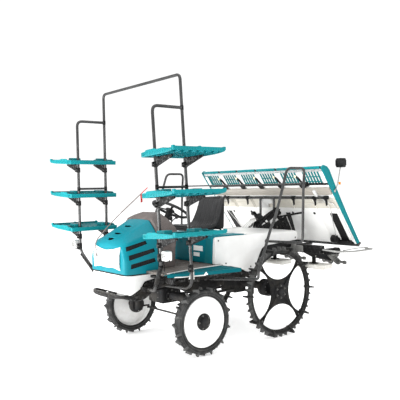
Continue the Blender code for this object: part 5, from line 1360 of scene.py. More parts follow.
def shelf(number, level):
    """One moulded seedling shelf: ribbed floor, tapered walls, raised seats at the posts and ribs beneath in a
    darker teal, painted shade under the shelf.
    """
    length = SHELF_FRONT - SHELF_REAR
    middle = (SHELF_FRONT + SHELF_REAR) / 2
    outline = [(SHELF_FRONT - (0.012 if y in (0.0, 0.4848) else 0.0), y) for y, _ in SHELF_STATIONS]
    outline += [(SHELF_FRONT - length * step / 6, 0.4848) for step in range(1, 6)]
    outline += [(2 * middle - x, y) for x, y in reversed(outline[:len(SHELF_STATIONS)])]
    tray = recessed(panel(outline, 0.0, 0.05, "xy"), lambda c, n: n.z > 0.9, (0.012, 0.026))
    recessed(tray, lambda c, n: n.z < -0.9, (0.013, 0.019))
    for point in tray.data.vertices:
        if point.co.z > 0.049:
            point.co.z = shelf_wall(point.co.y)
        elif point.co.z < 0.001 and point.co.y > 0.37:
            point.co.z += 0.012 * (point.co.y - 0.37) / 0.115
    eased(tray, 0.004, 2, 30)
    parts = [tray]
    parts.append(row(block((-0.004, 0.018, 0.023), (0.004, 0.462, 0.0285), 0.0015, 1),
                     [(SHELF_REAR + 0.06 + 0.055 * index, 0, 0) for index in range(9)]))
    parts.append(row(block((SHELF_FRONT - 0.002, -0.0017, 0.006), (SHELF_FRONT + 0.0016, 0.0017, 0.033)),
                     [(0, 0.024 + 0.024 * index, 0) for index in range(19)]))
    parts.append(row(block((-0.0017, 0.4825, 0.017), (0.0017, 0.4864, 0.036)),
                     [(SHELF_REAR + 0.028 + 0.028 * index, 0, 0) for index in range(19)]))
    lattice = [row(block((SHELF_REAR + 0.014, -0.002, 0.002), (SHELF_FRONT - 0.014, 0.002, 0.0195)),
                   [(0, 0.055 + 0.068 * index, 0) for index in range(6)]), row(block((-0.002, 0.014, 0.002),
            (0.002, 0.47, 0.0195)), [(SHELF_REAR + 0.08 + 0.08 * index, 0, 0) for index in range(6)])]
    for x in (POST_REAR, POST_FRONT):
        parts.append(block((x - 0.04, 0.094, 0.014), (x + 0.044, 0.215, 0.066), 0.008, 3))
    for x in (SHELF_REAR + 0.012, middle, SHELF_FRONT - 0.012):
        parts.append(block((x - 0.011, 0.452, 0.02), (x + 0.011, 0.4845, 0.05), 0.004, 2))
    shelf_piece = joined(parts)
    tip = atan(SHELF_SLOPE)
    lattice = joined(lattice)
    for made in (shelf_piece, lattice):
        made.data.transform(Matrix.Translation((0, SHELF_INNER, level)) @ Matrix.Rotation(tip, 4, "X"))
    # Painted shade: the ribs under the shelf are in the darker teal.
    pair(lattice, f"shelf_ribs_{number}", "chassis", TEAL_PAINTED_SHADE)
    pair(shelf_piece, f"shelf_tray_{number}", "chassis", TEAL_TRAY, "shelf_{}_" + str(number))
    arms = []
    for x in (POST_FRONT, POST_REAR):
        place = Vector(post_point(x, level))
        start = place.y + 0.012
        under = [level + SHELF_SLOPE * (y - SHELF_INNER) - 0.0005 for y in (start, start + 0.245)]
        gusset = [(start, under[0] - 0.084), (start, under[0]), (start + 0.245, under[1]),
                  (start + 0.232, under[1] - 0.014), (start + 0.06, under[0] - 0.058)]
        arms.append(panel(gusset, place.x - 0.006, place.x + 0.006, "yz", 0.0015))
        arms.append(bar((place.x, start, under[0] - 0.08), (place.x, start + 0.238, under[1] - 0.012), 0.0085,
                        12))
        arms.append(block((place.x - 0.02, start + 0.02, under[0] - 0.006),
                          (place.x + 0.02, start + 0.06, under[0] + 0.004)))
    pair(joined(arms), f"shelf_arms_{number}", "chassis", BLACK)


def work_lamps():
    """A white work lamp on each front post, with its grid, lens, ring and bracket."""
    body = recessed(block((1.57, 0.806, 0.966), (1.636, 0.874, 1.049), 0.009, 3), lambda c, n: n.x > 0.95,
                    (0.007, 0.006))
    fins = [block((1.567, 0.812, z), (1.578, 0.868, z + 0.004), 0.001, 1) for z in (0.98, 0.992, 1.004, 1.016,
            1.028)]
    pair(joined([body] + fins), "work_lamp", "chassis", WHITE, "lamp_{}")
    grid = [block((1.634, 0.8135 + 0.0145 * k, 0.972), (1.64, 0.816 + 0.0145 * k, 1.043), 0.0006, 1)
            for k in range(4)]
    grid += [block((1.634, 0.811, 0.986 + 0.015 * k), (1.64, 0.869, 0.9885 + 0.015 * k), 0.0006, 1)
             for k in range(4)]
    pair(joined(grid), "lamp_guard", "chassis", STEEL)
    lens = block((1.6305, 0.8132, 0.9735), (1.6335, 0.8668, 1.0415), 0.001, 1)
    pair(lens, "lamp_lens_pane", "chassis", LENS)
    arm = [block((1.588, 0.752, 0.974), (1.606, 0.812, 0.992), 0.003), tube([(1.6, 0.8, 0.976),
            (1.6, 0.84, 0.948), (1.6, 0.878, 0.975)], 0.0035, 0.02), tube([(1.59, 0.76, 0.96),
            (1.56, 0.745, 0.9), (1.54, 0.7, 0.83)], 0.0045, 0.03)]
    pair(joined(arm), "lamp_bracket", "chassis", BLACK)


# Hand rails beside the seat


def hand_rails():
    """A tall looped hand rail each side with its feet, and the bar across behind the seat."""
    route = [(0.68, 0.2253, 0.65), (0.68, 0.3, 0.65), (0.68, 1.0, 0.725), (0.679, 1.0, 0.79),
             (0.52, 1.0, 1.16), (0.44, 1.0, 1.3), (0.355, 1.0, 1.52), (0.27, 1.0, 1.758), (0.02, 1.0, 1.758),
             (0.04, 1.0, 1.54), (0.062, 1.0, 1.016), (0.062, 0.5003, 1.004)]
    loop = tube(route, 0.0134, 0.055, round_steps=5)
    flanges = [bar((0.062, 0.5003, 1.004), (0.062, 0.507, 1.004), 0.028, 28, edge=0.002),
               bar((0.68, 0.2253, 0.65), (0.68, 0.232, 0.65), 0.026, 28, edge=0.002)]
    pair(joined([loop] + flanges), "hand_rail_loop", "chassis", SATIN_PAINTED_SHEEN, "hand_rail_{}")
    screws = [bolt((x, 0.507, z), (0, 1, 0), 0.005, 0.004) for x, z in arc(0.019, 46, 316, 3, (0.062, 1.004))]
    pair(joined(screws), "hand_rail_screws", "chassis", BOLTS)
    rod = across(0.0385, 1.605, -0.9863, 0.9863, 0.0082, 20)
    ends = both(bar((0.0385, 0.955, 1.605), (0.0385, 0.9863, 1.605), 0.0125, 20, edge=0.002))
    dress(joined([rod, ends]), "rail_cross_bar", "chassis", SATIN_PAINTED_SHEEN, "cross_bar")


# Undercarriage


def front_axle():
    """Front axle casting: ribbed housing, flanged tubes and king-pin heads with their caps."""
    housing = block((0.948, -0.129, 0.431), (1.162, 0.129, 0.599), 0.026, 4)
    ribs = [block((0.945, y - 0.004, 0.45), (1.165, y + 0.004, 0.585), 0.002, 1) for y in (-0.07, 0.0, 0.07)]
    lid = turned([(0.0005, -0.01), (0.074, -0.01), (0.074, 0.006), (0.06, 0.012), (0.0005, 0.014)],
                 (1.158, 0.0, 0.515), "X", 40)
    tubes = both(joined([across(1.055, 0.51, 0.12, 0.48, 0.0395, 32), across(1.055, 0.51, 0.127, 0.146, 0.062,
            32, edge=0.003), bar((1.055, 0.48, 0.462), (1.055, 0.48, 0.554), 0.05, 32, tip=0.045, edge=0.005),
                         bar((1.055, 0.48, 0.554), (1.055, 0.48, 0.562), 0.03, 24, edge=0.002)]))
    dress(joined([housing, lid, tubes] + ribs), "front_axle_casting", "chassis", CAST, "front_axle")
    bolts = [bolt((x, side * 0.146, z), (0, side, 0), 0.0065, 0.006) for side in (1, -1) for x,
             z in arc(0.052, 30, 330, 5, (1.055, 0.51))]
    bolts += [bolt((1.165, y, z), (1, 0, 0), 0.006, 0.005) for y, z in arc(0.062, 22, 337, 7, (0.0, 0.515))]
    dress(joined(bolts), "front_axle_bolts", "chassis", DULL_BOLTS)


def knuckles():
    """Each steering knuckle: tapered leg with a rubber boot, stub and steering arm."""
    leg = bar((1.055, 0.48, 0.27), (1.055, 0.48, 0.46), 0.0445, 32, tip=0.04, edge=0.005)
    foot = bar((1.055, 0.48, 0.268), (1.055, 0.48, 0.29), 0.036, 28, edge=0.004)
    stub = bar((1.055, 0.47, 0.325), (1.055, 0.56, 0.325), 0.0338, 28)
    flange = turned([(0.0005, -0.03), (0.07, -0.03), (0.086, -0.018), (0.088, 0.012), (0.08, 0.02),
                     (0.0005, 0.02)], (1.055, 0.52, 0.325), steps=40)
    arm = panel([(1.07, 0.455), (1.07, 0.505), (1.0, 0.498), (0.925, 0.49), (0.909, 0.48), (0.925, 0.47),
                 (1.0, 0.462)], 0.3005, 0.3135, "xy", 0.003, 2)
    pair(joined([leg, foot, stub, flange, arm]), "knuckle_casting", "knuckle_{}", CAST, "knuckle_{}")
    boots = [bar((1.055, 0.48, 0.428 + 0.008 * k), (1.055, 0.48, 0.433 + 0.008 * k), 0.0455, 28, edge=0.0015)
             for k in range(4)]
    pair(joined(boots), "knuckle_boot", "knuckle_{}", HOSE)
    nuts = [bolt((x, y, 0.268), (0, 0, -1), 0.005, 0.005) for x, y in arc(0.03, 29, 299, 3, (1.055, 0.48))]
    pair(joined(nuts), "knuckle_bolts", "knuckle_{}", BOLTS)
    rod = across(0.925, 0.2845, -0.462, 0.462, 0.0098, 20)
    joints = both(joined([bar((0.925, 0.48, 0.2745), (0.925, 0.48, 0.2985), 0.0165, 24, edge=0.003),
                          across(0.925, 0.2845, 0.4, 0.458, 0.0132, 6)]))
    dress(joined([rod, joints]), "tie_rod_and_joints", "tie_rod", BLACK, "tie_rod")


def rear_axle():
    """Rear axle casting with its final drives, brake drums, cooling ribs and long stays."""
    housing = block((0.013, -0.124, 0.416), (0.189, 0.124, 0.599), 0.024, 4)
    ribs = [block((0.009, y - 0.004, 0.44), (0.193, y + 0.004, 0.58), 0.002, 1)
            for y in (-0.085, -0.045, 0.045, 0.085)]
    profile = [(0.0005, 0.401), (0.078, 0.401), (0.0885, 0.411), (0.0895, 0.448), (0.084, 0.452),
               (0.084, 0.46), (0.0895, 0.464), (0.0885, 0.5), (0.07, 0.514), (0.044, 0.5148),
               (0.0005, 0.5148)]
    case = turned([(radius, y - 0.4575) for radius, y in profile], (0.035, 0.4575, 0.505), steps=48)
    tubes = [across(0.07, 0.525, -0.42, 0.42, 0.0415, 32), both(joined([case, across(0.0, 0.475, 0.505,
            0.5598, 0.0415, 32, edge=0.002), across(0.07, 0.525, 0.118, 0.138, 0.064, 32, edge=0.003),
            bar((0.1, 0.1, 0.46), (0.947, 0.1, 0.46), 0.0138, 20)]))]
    bolts = [bolt((x, side * 0.5105, z), (0, side, 0), 0.0065, 0.006) for side in (1, -1) for x,
             z in arc(0.07, 15, 330, 7, (0.035, 0.505))]
    dress(joined([housing] + ribs + tubes), "rear_axle_casting", "chassis", CAST, "rear_axle")
    dress(joined(bolts), "rear_axle_bolts", "chassis", DULL_BOLTS)


def engine():
    """The engine under the bonnet: finned block, fan housing, filter and exhaust; and its drive case."""
    base = block((1.371, -0.189, 0.6905), (1.639, 0.189, 0.9), 0.01, 3)
    fins = [block((1.402, -0.149, 0.905 + 0.012 * k), (1.598, 0.149, 0.911 + 0.012 * k), 0.001, 1)
            for k in range(10)]
    head = block((1.412, -0.14, 0.895), (1.588, 0.14, 1.045), 0.012, 3)
    ribs = [block((1.368, -0.15 + 0.05 * k, 0.7), (1.642, -0.144 + 0.05 * k, 0.89), 0.002, 1)
            for k in range(7)]
    dress(joined([base, head] + fins + ribs), "engine_block", "chassis", CAST_PALE, "engine")
    fan = turned([(0.0005, -0.004), (0.084, -0.004), (0.09, 0.002), (0.09, 0.016), (0.08, 0.02),
                  (0.0005, 0.02)], (1.5, 0.182, 0.825), steps=48)
    filter_box = bar((1.5, -0.1, 1.035), (1.5, 0.02, 1.035), 0.03, 32, edge=0.006)
    dress(joined([fan, filter_box]), "engine_covers", "chassis", BLACK_PLASTIC)
    pipe = tube([(1.56, -0.12, 0.95), (1.605, -0.12, 0.95), (1.612, -0.12, 0.76)], 0.014, 0.03)
    dress(pipe, "exhaust_pipe", "chassis", STEEL)
    case = block((0.942, -0.188, 0.6905), (1.328, 0.188, 0.797), 0.014, 3)
    webs = [block((0.96 + 0.046 * k, -0.1895, 0.7), (0.967 + 0.046 * k, 0.1895, 0.788), 0.002, 1)
            for k in range(8)]
    dress(joined([case] + webs), "drive_case", "chassis", CAST, "gearbox")
    hoses = [tube([(1.33, 0.1, 0.74), (1.35, 0.13, 0.73), (1.372, 0.12, 0.76)], 0.01, 0.02),
             tube([(0.945, -0.08, 0.74), (0.7, -0.1, 0.665), (0.3, -0.09, 0.64), (0.16, -0.06, 0.59)], 0.008,
                  0.06), tube([(0.945, 0.06, 0.74), (0.7, 0.09, 0.66), (0.35, 0.09, 0.65),
                               (0.17, 0.07, 0.592)], 0.008, 0.06)]
    dress(joined(hoses), "hydraulic_hoses", "chassis", HOSE)
    bolts = [bolt((x, side * 0.225, 0.645), (0, side, 0), 0.008, 0.007) for side in (1, -1) for x in (0.05,
            0.18, 0.45, 0.9, 1.3, 1.51)]
    bolts += [bolt((0.975 + 0.108 * k, side * 0.1895, 0.742), (0, side, 0), 0.006, 0.005) for side in (1, -1)
              for k in range(4)]
    dress(joined(bolts), "frame_bolts", "chassis", DULL_BOLTS)


def front_guard():
    """The black guard under the nose: a bent tube on side plates that run back to the rack's feet."""
    stations = (
        # x, y, low, high
        (1.734, 0.0, 0.566, 0.616), (1.734, 0.1, 0.567, 0.615), (1.733, 0.19, 0.574, 0.612),
        (1.719, 0.245, 0.582, 0.608), (1.69, 0.294, 0.576, 0.602), (1.64, 0.32, 0.56, 0.6),
        (1.59, 0.329, 0.55, 0.626), (1.545, 0.33, 0.55, 0.65), (1.5, 0.33, 0.562, 0.7),
        (1.44, 0.33, 0.596, 0.72), (1.38, 0.33, 0.64, 0.728), (1.34, 0.33, 0.69, 0.73))

    def place(u, v):
        x, y, low, high = stations[round(u * (len(stations) - 1))]
        return (x, y, low + (high - low) * v)
    plate = carved(skin(len(stations) - 1, 3, place, 0.006, 1.0), block((1.56, 0.29, 0.572),
            (1.604, 0.36, 0.594), 0.006, 3))
    edge = tube([(x, y - (0.004 if y > 0.26 else 0.0), low + 0.004) for x, y, low, high in stations], 0.0085,
                0.01)
    pieces = [plate, edge, block((1.455, 0.2, 0.588), (1.515, 0.322, 0.612), 0.006), bar((1.35, 0.32, 0.7),
            (1.283, 0.44, 0.79), 0.013, 16), block((1.255, 0.425, 0.738), (1.315, 0.505, 0.778), 0.006),
              tube([(1.52, 0.33, 0.64), (1.44, 0.42, 0.668), (1.33, 0.5, 0.7), (1.18, 0.52, 0.722)], 0.015,
                   0.06)]
    dress(both(joined(pieces)), "front_guard", "chassis", BLACK)


def under_deck():
    """The dark rails, carriers and boxes that hang under the foot deck."""
    rails = [panel([(0.56, 0.7), (0.7, 0.69), (1.42, 0.69), (1.47, 0.722), (1.47, 0.772), (0.56, 0.772)],
                   0.452, 0.47, "xz", 0.003, 2), block((0.74, 0.2, 0.752), (1.44, 0.5, 0.774), 0.004, 2),
             panel([(0.44, 0.66), (0.7, 0.66), (0.72, 0.69), (0.72, 0.772), (0.44, 0.772)], 0.235, 0.42, "xz",
                   0.012, 3), panel([(0.42, 0.61), (0.44, 0.545), (0.62, 0.522), (0.9, 0.53), (0.96, 0.56),
            (0.96, 0.61)], 0.12, 0.214, "xz", 0.012, 3), tube([(0.76, 0.7, 0.762), (1.1, 0.668, 0.762),
            (1.32, 0.625, 0.762), (1.42, 0.56, 0.762)], 0.011, 0.05)]
    rails += [block((x, 0.2, 0.704), (x + 0.03, 0.64 - abs(x - 1.15) * 0.2, 0.756), 0.004, 2)
              for x in (0.8, 1.08, 1.34)]
    dress(both(joined(rails)), "under_deck_frame", "chassis", BLACK)


# Lift links and planting unit


def links():
    """The lower link frame and the upper link with its threaded middle."""
    low, far = Vector((-0.02, 0, 0.42)), Vector((-0.2956, 0, 0.861))
    shift = Vector((0, 0.13, 0))
    pieces = [both(bar(low + shift, far + shift, 0.0138, 20))]
    for end in (low, far):
        pieces.append(both(across(end.x, end.z, 0.108, 0.1595, 0.0218, 28, edge=0.002)))
        pieces.append(across(end.x, end.z, -0.112, 0.112, 0.013, 20))
    brace = low.lerp(far, 0.45)
    pieces.append(across(brace.x, brace.z, -0.13, 0.13, 0.011, 20))
    dress(joined(pieces), "lower_link_frame", "lower_link", BLACK_GLOSS, "lower_link")
    low, far = Vector((-0.02, 0, 0.58)), Vector((-0.2956, 0, 1.021))
    pieces = [bar(low, low.lerp(far, 0.36), 0.011, 20), bar(low.lerp(far, 0.64), far, 0.011, 20)]
    sleeve = bar(low.lerp(far, 0.34), low.lerp(far, 0.66), 0.0138, 6)
    for end in (low, far):
        pieces.append(across(end.x, end.z, -0.1593, 0.1593, 0.0135, 20))
        pieces.append(across(end.x, end.z, -0.026, 0.026, 0.0218, 28, edge=0.002))
        pieces.append(both(across(end.x, end.z, 0.14, 0.1595, 0.0215, 28, edge=0.002)))
    dress(joined(pieces), "upper_link_rod", "upper_link", BLACK_GLOSS, "upper_link")
    dress(sleeve, "upper_link_sleeve", "upper_link", STEEL)


def planting_beam():
    """The planting unit's main beam with its hitch plates, drive box, clamps and end guards."""
    beam = block((-0.4195, -0.8795, 0.8625), (-0.3355, 0.8795, 0.9445), 0.007, 3)
    caps = both(block((-0.419, 0.868, 0.866), (-0.336, 0.8798, 0.941), 0.002, 1))
    x, z = -0.2956, 0.861
    outline = [(x + 0.03, z - 0.028), (x + 0.03, z + 0.186), (x - 0.03, z + 0.186), (-0.4, 0.935),
               (-0.4, 0.872)]
    plates = both(panel(outline, 0.1602, 0.1718, "xz", 0.002, 1))
    bands = []
    for y in (-0.64, -0.56, -0.045, 0.045, 0.56, 0.64):
        bands.append(block((-0.4225, y - 0.012, 0.86), (-0.3325, y + 0.012, 0.947), 0.003, 1))
    dress(joined([beam, caps, plates] + bands), "main_beam", "planting_unit", BLACK, "planting_beam")
    guards = tube([(-0.38, 0.85, 0.905), (-0.42, 1.04, 0.89), (-0.7, 1.04, 0.87), (-1.06, 1.04, 0.87),
                   (-1.06, 0.93, 0.87)], 0.0098, 0.045)
    inner = tube([(-0.56, 1.012, 0.89), (-0.8, 1.016, 0.897), (-0.99, 1.01, 0.894)], 0.005, 0.03)
    pair(joined([guards, inner]), "end_guard", "planting_unit", STEEL_DULL)
    drive = [block((-0.372, 0.474, 0.852), (-0.318, 0.56, 0.952), 0.01, 3), block((-0.366, 0.56, 0.866),
            (-0.322, 0.655, 0.938), 0.008, 3), across(-0.345, 0.902, 0.44, 0.478, 0.026, 28, edge=0.003)]
    dress(joined(drive), "beam_drive_box", "planting_unit", CAST_PALE)
    ends = both(joined([block((-0.56, 0.884, 0.852), (-0.4, 0.96, 0.914), 0.008, 3), across(-0.52, 0.888,
            0.93, 0.985, 0.036, 28, edge=0.004)]))
    clutter = [ends, block((-0.372, 0.06, 0.946), (-0.338, 0.44, 0.985), 0.006), block((-0.366, -0.42, 0.946),
            (-0.34, -0.06, 0.974), 0.006), block((-0.372, 0.18, 0.812), (-0.345, 0.42, 0.862), 0.006),
               block((-0.375, -0.4, 0.82), (-0.348, -0.2, 0.862), 0.006), tube([(-0.372, 0.655, 0.905),
            (-0.372, 0.78, 0.93), (-0.372, 0.87, 0.905)], 0.008, 0.03)]
    dress(joined(clutter), "beam_brackets", "planting_unit", BLACK)
    bolts = [bolt((-0.332, y, z), (1, 0, 0), 0.007, 0.006) for y in (-0.64, -0.56, -0.045, 0.045, 0.56, 0.64)
             for z in (0.88, 0.927)]
    dress(joined(bolts), "beam_bolts", "planting_unit", DULL_BOLTS)


def planting_cases():
    """The three chain cases that carry the rotors, ribbed castings with bolted covers."""
    for name, y in UNITS:
        outline = [(-0.4205, 0.9395), (-0.4205, 0.8525), (-0.56, 0.7905), *arc(0.0475, 255, 75, 8,
                (ROTOR_X, ROTOR_Z)), (-0.56, 0.8795)]
        case = recessed(panel(outline, y - 0.0292, y + 0.0292, "xz", 0.005, 2), lambda c, n: abs(n.y) > 0.95
                        and abs(c.y - y) > 0.028, (0.01, 0.0035), each=True)
        bosses = [across(ROTOR_X, ROTOR_Z, y - 0.0298, y + 0.0298, 0.036, 32, edge=0.002), across(-0.462,
                0.896, y - 0.0298, y + 0.0298, 0.026, 28, edge=0.002)]
        ribs = [panel([(-0.47, 0.905), (-0.475, 0.889), (-0.82, 0.76), (-0.815, 0.776)], y - 0.0296,
                      y + 0.0296, "xz", 0.001)]
        stays = [block((-0.588, y - 0.02, 0.716), (-0.562, y + 0.02, 0.8), 0.004),
                 block((-0.612, y - 0.036, 0.715), (-0.538, y + 0.036, 0.727), 0.003)]
        dress(joined([case] + bosses + ribs + stays), f"chain_case_{name}", "planting_unit", CAST,
              f"planting_case_{name}")
        bolts = [bolt((x, y + side * 0.029, z), (0, side, 0), 0.005, 0.005) for side in (1, -1) for x,
                 z in ((-0.44, 0.925), (-0.445, 0.868), (-0.56, 0.868), (-0.57, 0.8), (-0.7, 0.822),
                       (-0.71, 0.746), (-0.838, 0.788), (-0.838, 0.722), (-0.893, 0.755))]
        dress(joined(bolts), f"chain_case_bolts_{name}", "planting_unit", BOLTS)
        rotor(name, y)


def rotor(name, y):
    """One planting rotor: a bolted carrier each side of its case, with four hooked planting arms."""
    lean = radians(35)
    along = Vector((cos(lean), 0, sin(lean)))
    hub = Vector((ROTOR_X, y, ROTOR_Z))
    carriers = [across(ROTOR_X, ROTOR_Z, y - 0.046, y + 0.046, 0.0148, 24)]
    claws, bolts = [], []
    for side in (1, -1):
        outline = []
        for end, base in ((1, -55), (-1, 125)):
            centre = hub + along * end * 0.085
            outline += arc(0.0335, base, base + 180, 9, (centre.x, centre.z))
        low, high = sorted((y + side * 0.0364, y + side * 0.0656))
        carriers.append(panel(outline, low, high, "xz", 0.006, 3))
        carriers.append(across(ROTOR_X, ROTOR_Z, *sorted((y + side * 0.06, y + side * 0.07)), 0.024, 28,
                               edge=0.002))
        for end in (1, -1):
            pin = hub + along * end * 0.085
            carriers.append(across(pin.x, pin.z, *sorted((y + side * 0.06, y + side * 0.135)), 0.0155, 24))
            carriers.append(across(pin.x, pin.z, *sorted((y + side * 0.07, y + side * 0.084)), 0.0215, 24,
                                   edge=0.002))
            carriers.append(across(pin.x, pin.z, *sorted((y + side * 0.132, y + side * 0.1615)), 0.0215, 24,
                                   edge=0.003))
            for offset in (0.144, 0.156):
                root = Vector((pin.x, y + side * offset, pin.z))
                claws.append(bar(root, root + along * end * 0.0445, 0.0042, 8, tip=0.0022))
            for turn in (40, 160, 280):
                a = radians(turn)
                bolts.append(bolt((hub.x + 0.02 * cos(a), y + side * 0.07, hub.z + 0.02 * sin(a)),
                                  (0, side, 0), 0.0035, 0.003))
    dress(joined(carriers), f"rotor_carriers_{name}", f"rotor_{name}", CAST_PALE, f"rotor_{name}")
    dress(joined(claws), f"planting_claws_{name}", f"rotor_{name}", BRIGHT)
    dress(joined(bolts), f"rotor_bolts_{name}", f"rotor_{name}", BOLTS)


def floats():
    """The three moulded floats with their stiffening ribs and keels."""
    profile = [(-0.7, 0.671), (-0.51, 0.6655), (-0.47, 0.678), (-0.436, 0.7), (-0.43, 0.718), (-0.44, 0.7245),
               (-0.48, 0.716), (-0.7, 0.714)]
    for name, y in UNITS:
        board = panel(profile, y - 0.1848, y + 0.1848)
        plan = arc(0.11, 0, 90, 8, (-0.54, 0.0748)) + arc(0.06, 90, 180, 8, (-0.64, 0.1248))
        plan = [(x, y + offset) for x, offset in plan] + [(x, y - offset) for x, offset in reversed(plan)]
        cutter = panel(plan, 0.6, 0.8, "xy")
        board = eased(carved(board, cutter, "INTERSECT"), 0.008, 3, 40)
        ribs = [block((-0.675, y + k * 0.055 - 0.006, 0.7125), (-0.5, y + k * 0.055 + 0.006, 0.7205), 0.003,
                      2) for k in (-2, 2)]
        keels = [block((-0.69, y + k * 0.09 - 0.008, 0.6655), (-0.56, y + k * 0.09 + 0.008, 0.6735), 0.002, 1)
                 for k in (-1, 1)]
        dress(joined([board] + ribs + keels), f"float_shell_{name}", "planting_unit", FLOAT_WHITE,
              f"float_{name}")


def table_support():
    """Tubular masts and arms that carry the table, with its slide rail, roller hooks and feed linkage."""
    masts = tube([(-0.457, 0.3, 0.9), (-0.457, 0.3, 0.965), (-0.457, 0.11, 1.05), (-0.457, 0.11, 1.4515)],
                 0.0142, 0.04)
    arms = bar((-0.42, 0.3, 0.9), (-0.89, 0.3, 0.9), 0.0158, 24)
    head = across(-0.457, 1.4515, -0.8995, 0.8995, 0.0158, 28)
    rail = block((-0.03, -0.9848, -0.012), (-0.0005, 0.9848, 0.0395), 0.004, 2)
    rail.data.transform(SLOPE)
    lip = block((-0.03, -0.98, 0.036), (-0.022, 0.98, 0.056), 0.001, 1)
    lip.data.transform(SLOPE)
    dress(joined([both(masts), both(arms), head, rail, lip]), "table_carrier", "planting_unit", SATIN_PAINTED_SHEEN,
          "table_support")
    hooks = []
    for y in (-0.88, -0.69, -0.33, 0.42, 0.727, 0.88):
        hooks.append(panel([(y - 0.03, 1.452), (y + 0.022, 1.452), (y + 0.026, 1.375), (y + 0.006, 1.362),
                            (y - 0.004, 1.412)], -0.45, -0.443, "yz", 0.0012))
        hooks.append(across(-0.457, 1.4515, y - 0.03, y + 0.024, 0.0205, 24, edge=0.002))
    for top, foot in ((0.333, 0.43), (0.372, 0.455)):
        hooks.append(bar((-0.43, top, 1.284), (-0.43, foot, 1.08), 0.0085, 12))
    wedge = panel([(0.335, 1.284), (0.388, 1.284), (0.464, 1.066), (0.425, 1.066)], -0.438, -0.426, "yz",
                  0.0015)
    short = bar((-0.424, 0.236, 1.236), (-0.424, 0.56, 1.287), 0.0115, 16, edge=0.002)
    plates = [panel([(-0.245, 1.27), (-0.195, 1.288), (-0.118, 1.215), (-0.105, 1.12), (-0.15, 1.13),
                     (-0.178, 1.2)], -0.447, -0.437, "yz", 0.0015), panel([(0.105, 1.3), (0.19, 1.335),
            (0.225, 1.315), (0.195, 1.23), (0.12, 1.18)], -0.445, -0.432, "yz", 0.002), panel([(0.115, 1.15),
            (0.24, 1.215), (0.33, 1.19), (0.345, 1.08), (0.125, 1.07)], -0.44, -0.428, "yz", 0.002),
              panel([(-0.215, 1.14), (-0.12, 1.18), (-0.105, 1.07), (-0.225, 1.066)], -0.442, -0.43, "yz",
                    0.002), panel([(-0.16, 1.25), (-0.105, 1.268), (-0.02, 1.225), (-0.01, 1.16),
            (-0.08, 1.15)], -0.425, -0.415, "yz", 0.002), panel([(-0.03, 1.23), (0.08, 1.29), (0.185, 1.345),
            (0.24, 1.322), (0.19, 1.262), (0.06, 1.17)], -0.425, -0.413, "yz", 0.003), panel([(-0.08, 1.11),
            (0.07, 1.18), (0.11, 1.12), (0.08, 1.066), (-0.085, 1.066)], -0.424, -0.412, "yz", 0.002),
              panel([(0.25, 1.21), (0.33, 1.25), (0.42, 1.08), (0.33, 1.066)], -0.425, -0.417, "yz", 0.002)]
    ties = [bar((-0.416, -0.225, 1.268), (-0.416, 0.205, 1.07), 0.0085, 12), bar((-0.416, 0.13, 1.3),
            (-0.416, 0.33, 1.11), 0.011, 12), bar((-0.414, -0.14, 1.075), (-0.414, 0.17, 1.33), 0.013, 16),
            tube([(-0.415, -0.29, 1.07), (-0.415, -0.18, 1.15), (-0.415, 0.11, 1.262), (-0.415, 0.29, 1.212)],
                 0.012, 0.06), tube([(-0.457, -0.3, 1.04), (-0.445, -0.15, 1.062), (-0.445, 0.25, 1.062),
            (-0.457, 0.44, 1.04)], 0.012, 0.05), tube([(-0.457, 0.44, 1.04), (-0.45, 0.455, 0.99),
            (-0.43, 0.455, 0.94)], 0.012, 0.03), tube([(-0.457, -0.3, 1.04), (-0.45, -0.32, 0.99),
            (-0.43, -0.32, 0.94)], 0.012, 0.03)]
    joints = ((-0.215, 1.262, 0.024), (-0.12, 1.2, 0.024), (0.205, 1.275, 0.026), (0.29, 1.18, 0.03),
              (0.2, 1.115, 0.026), (-0.165, 1.105, 0.022))
    for y, z, radius in joints:
        ties.append(bar((-0.452, y, z), (-0.42, y, z), radius, 24, edge=0.003))
    dress(joined(hooks + [wedge, short] + plates + ties), "feed_linkage", "planting_unit", BLACK_GLOSS)
    tines = [bar((-0.4005, -0.232, 1.19), (-0.4005, -0.14, 1.206), 0.006, 12), bar((-0.4005, -0.142, 1.204),
            (-0.44, -0.142, 1.204), 0.006, 12)]
    for k in range(5):
        tines.append(tube([(-0.4005, -0.15 - 0.018 * k, 1.203 - 0.004 * k),
                           (-0.4005, -0.185 - 0.032 * k, 1.13), (-0.4005, -0.2 - 0.046 * k, 1.068)], 0.0028,
                          0.03))
    dress(joined(tines), "feed_wires", "planting_unit", STEEL)
    eyes = [bolt((-0.42, y, z), (1, 0, 0), 0.009, 0.008) for y, z, radius in joints]
    dress(joined(eyes), "linkage_bolts", "planting_unit", DULL_BOLTS)


# Seedling table


def laid(pieces, name, finish, *nodes):
    """Pieces modelled flat, x up the slope and z off its face, laid on the table as one."""
    piece = joined(pieces)
    piece.data.transform(SLOPE)
    dress(piece, name, "seedling_table", finish, *nodes)


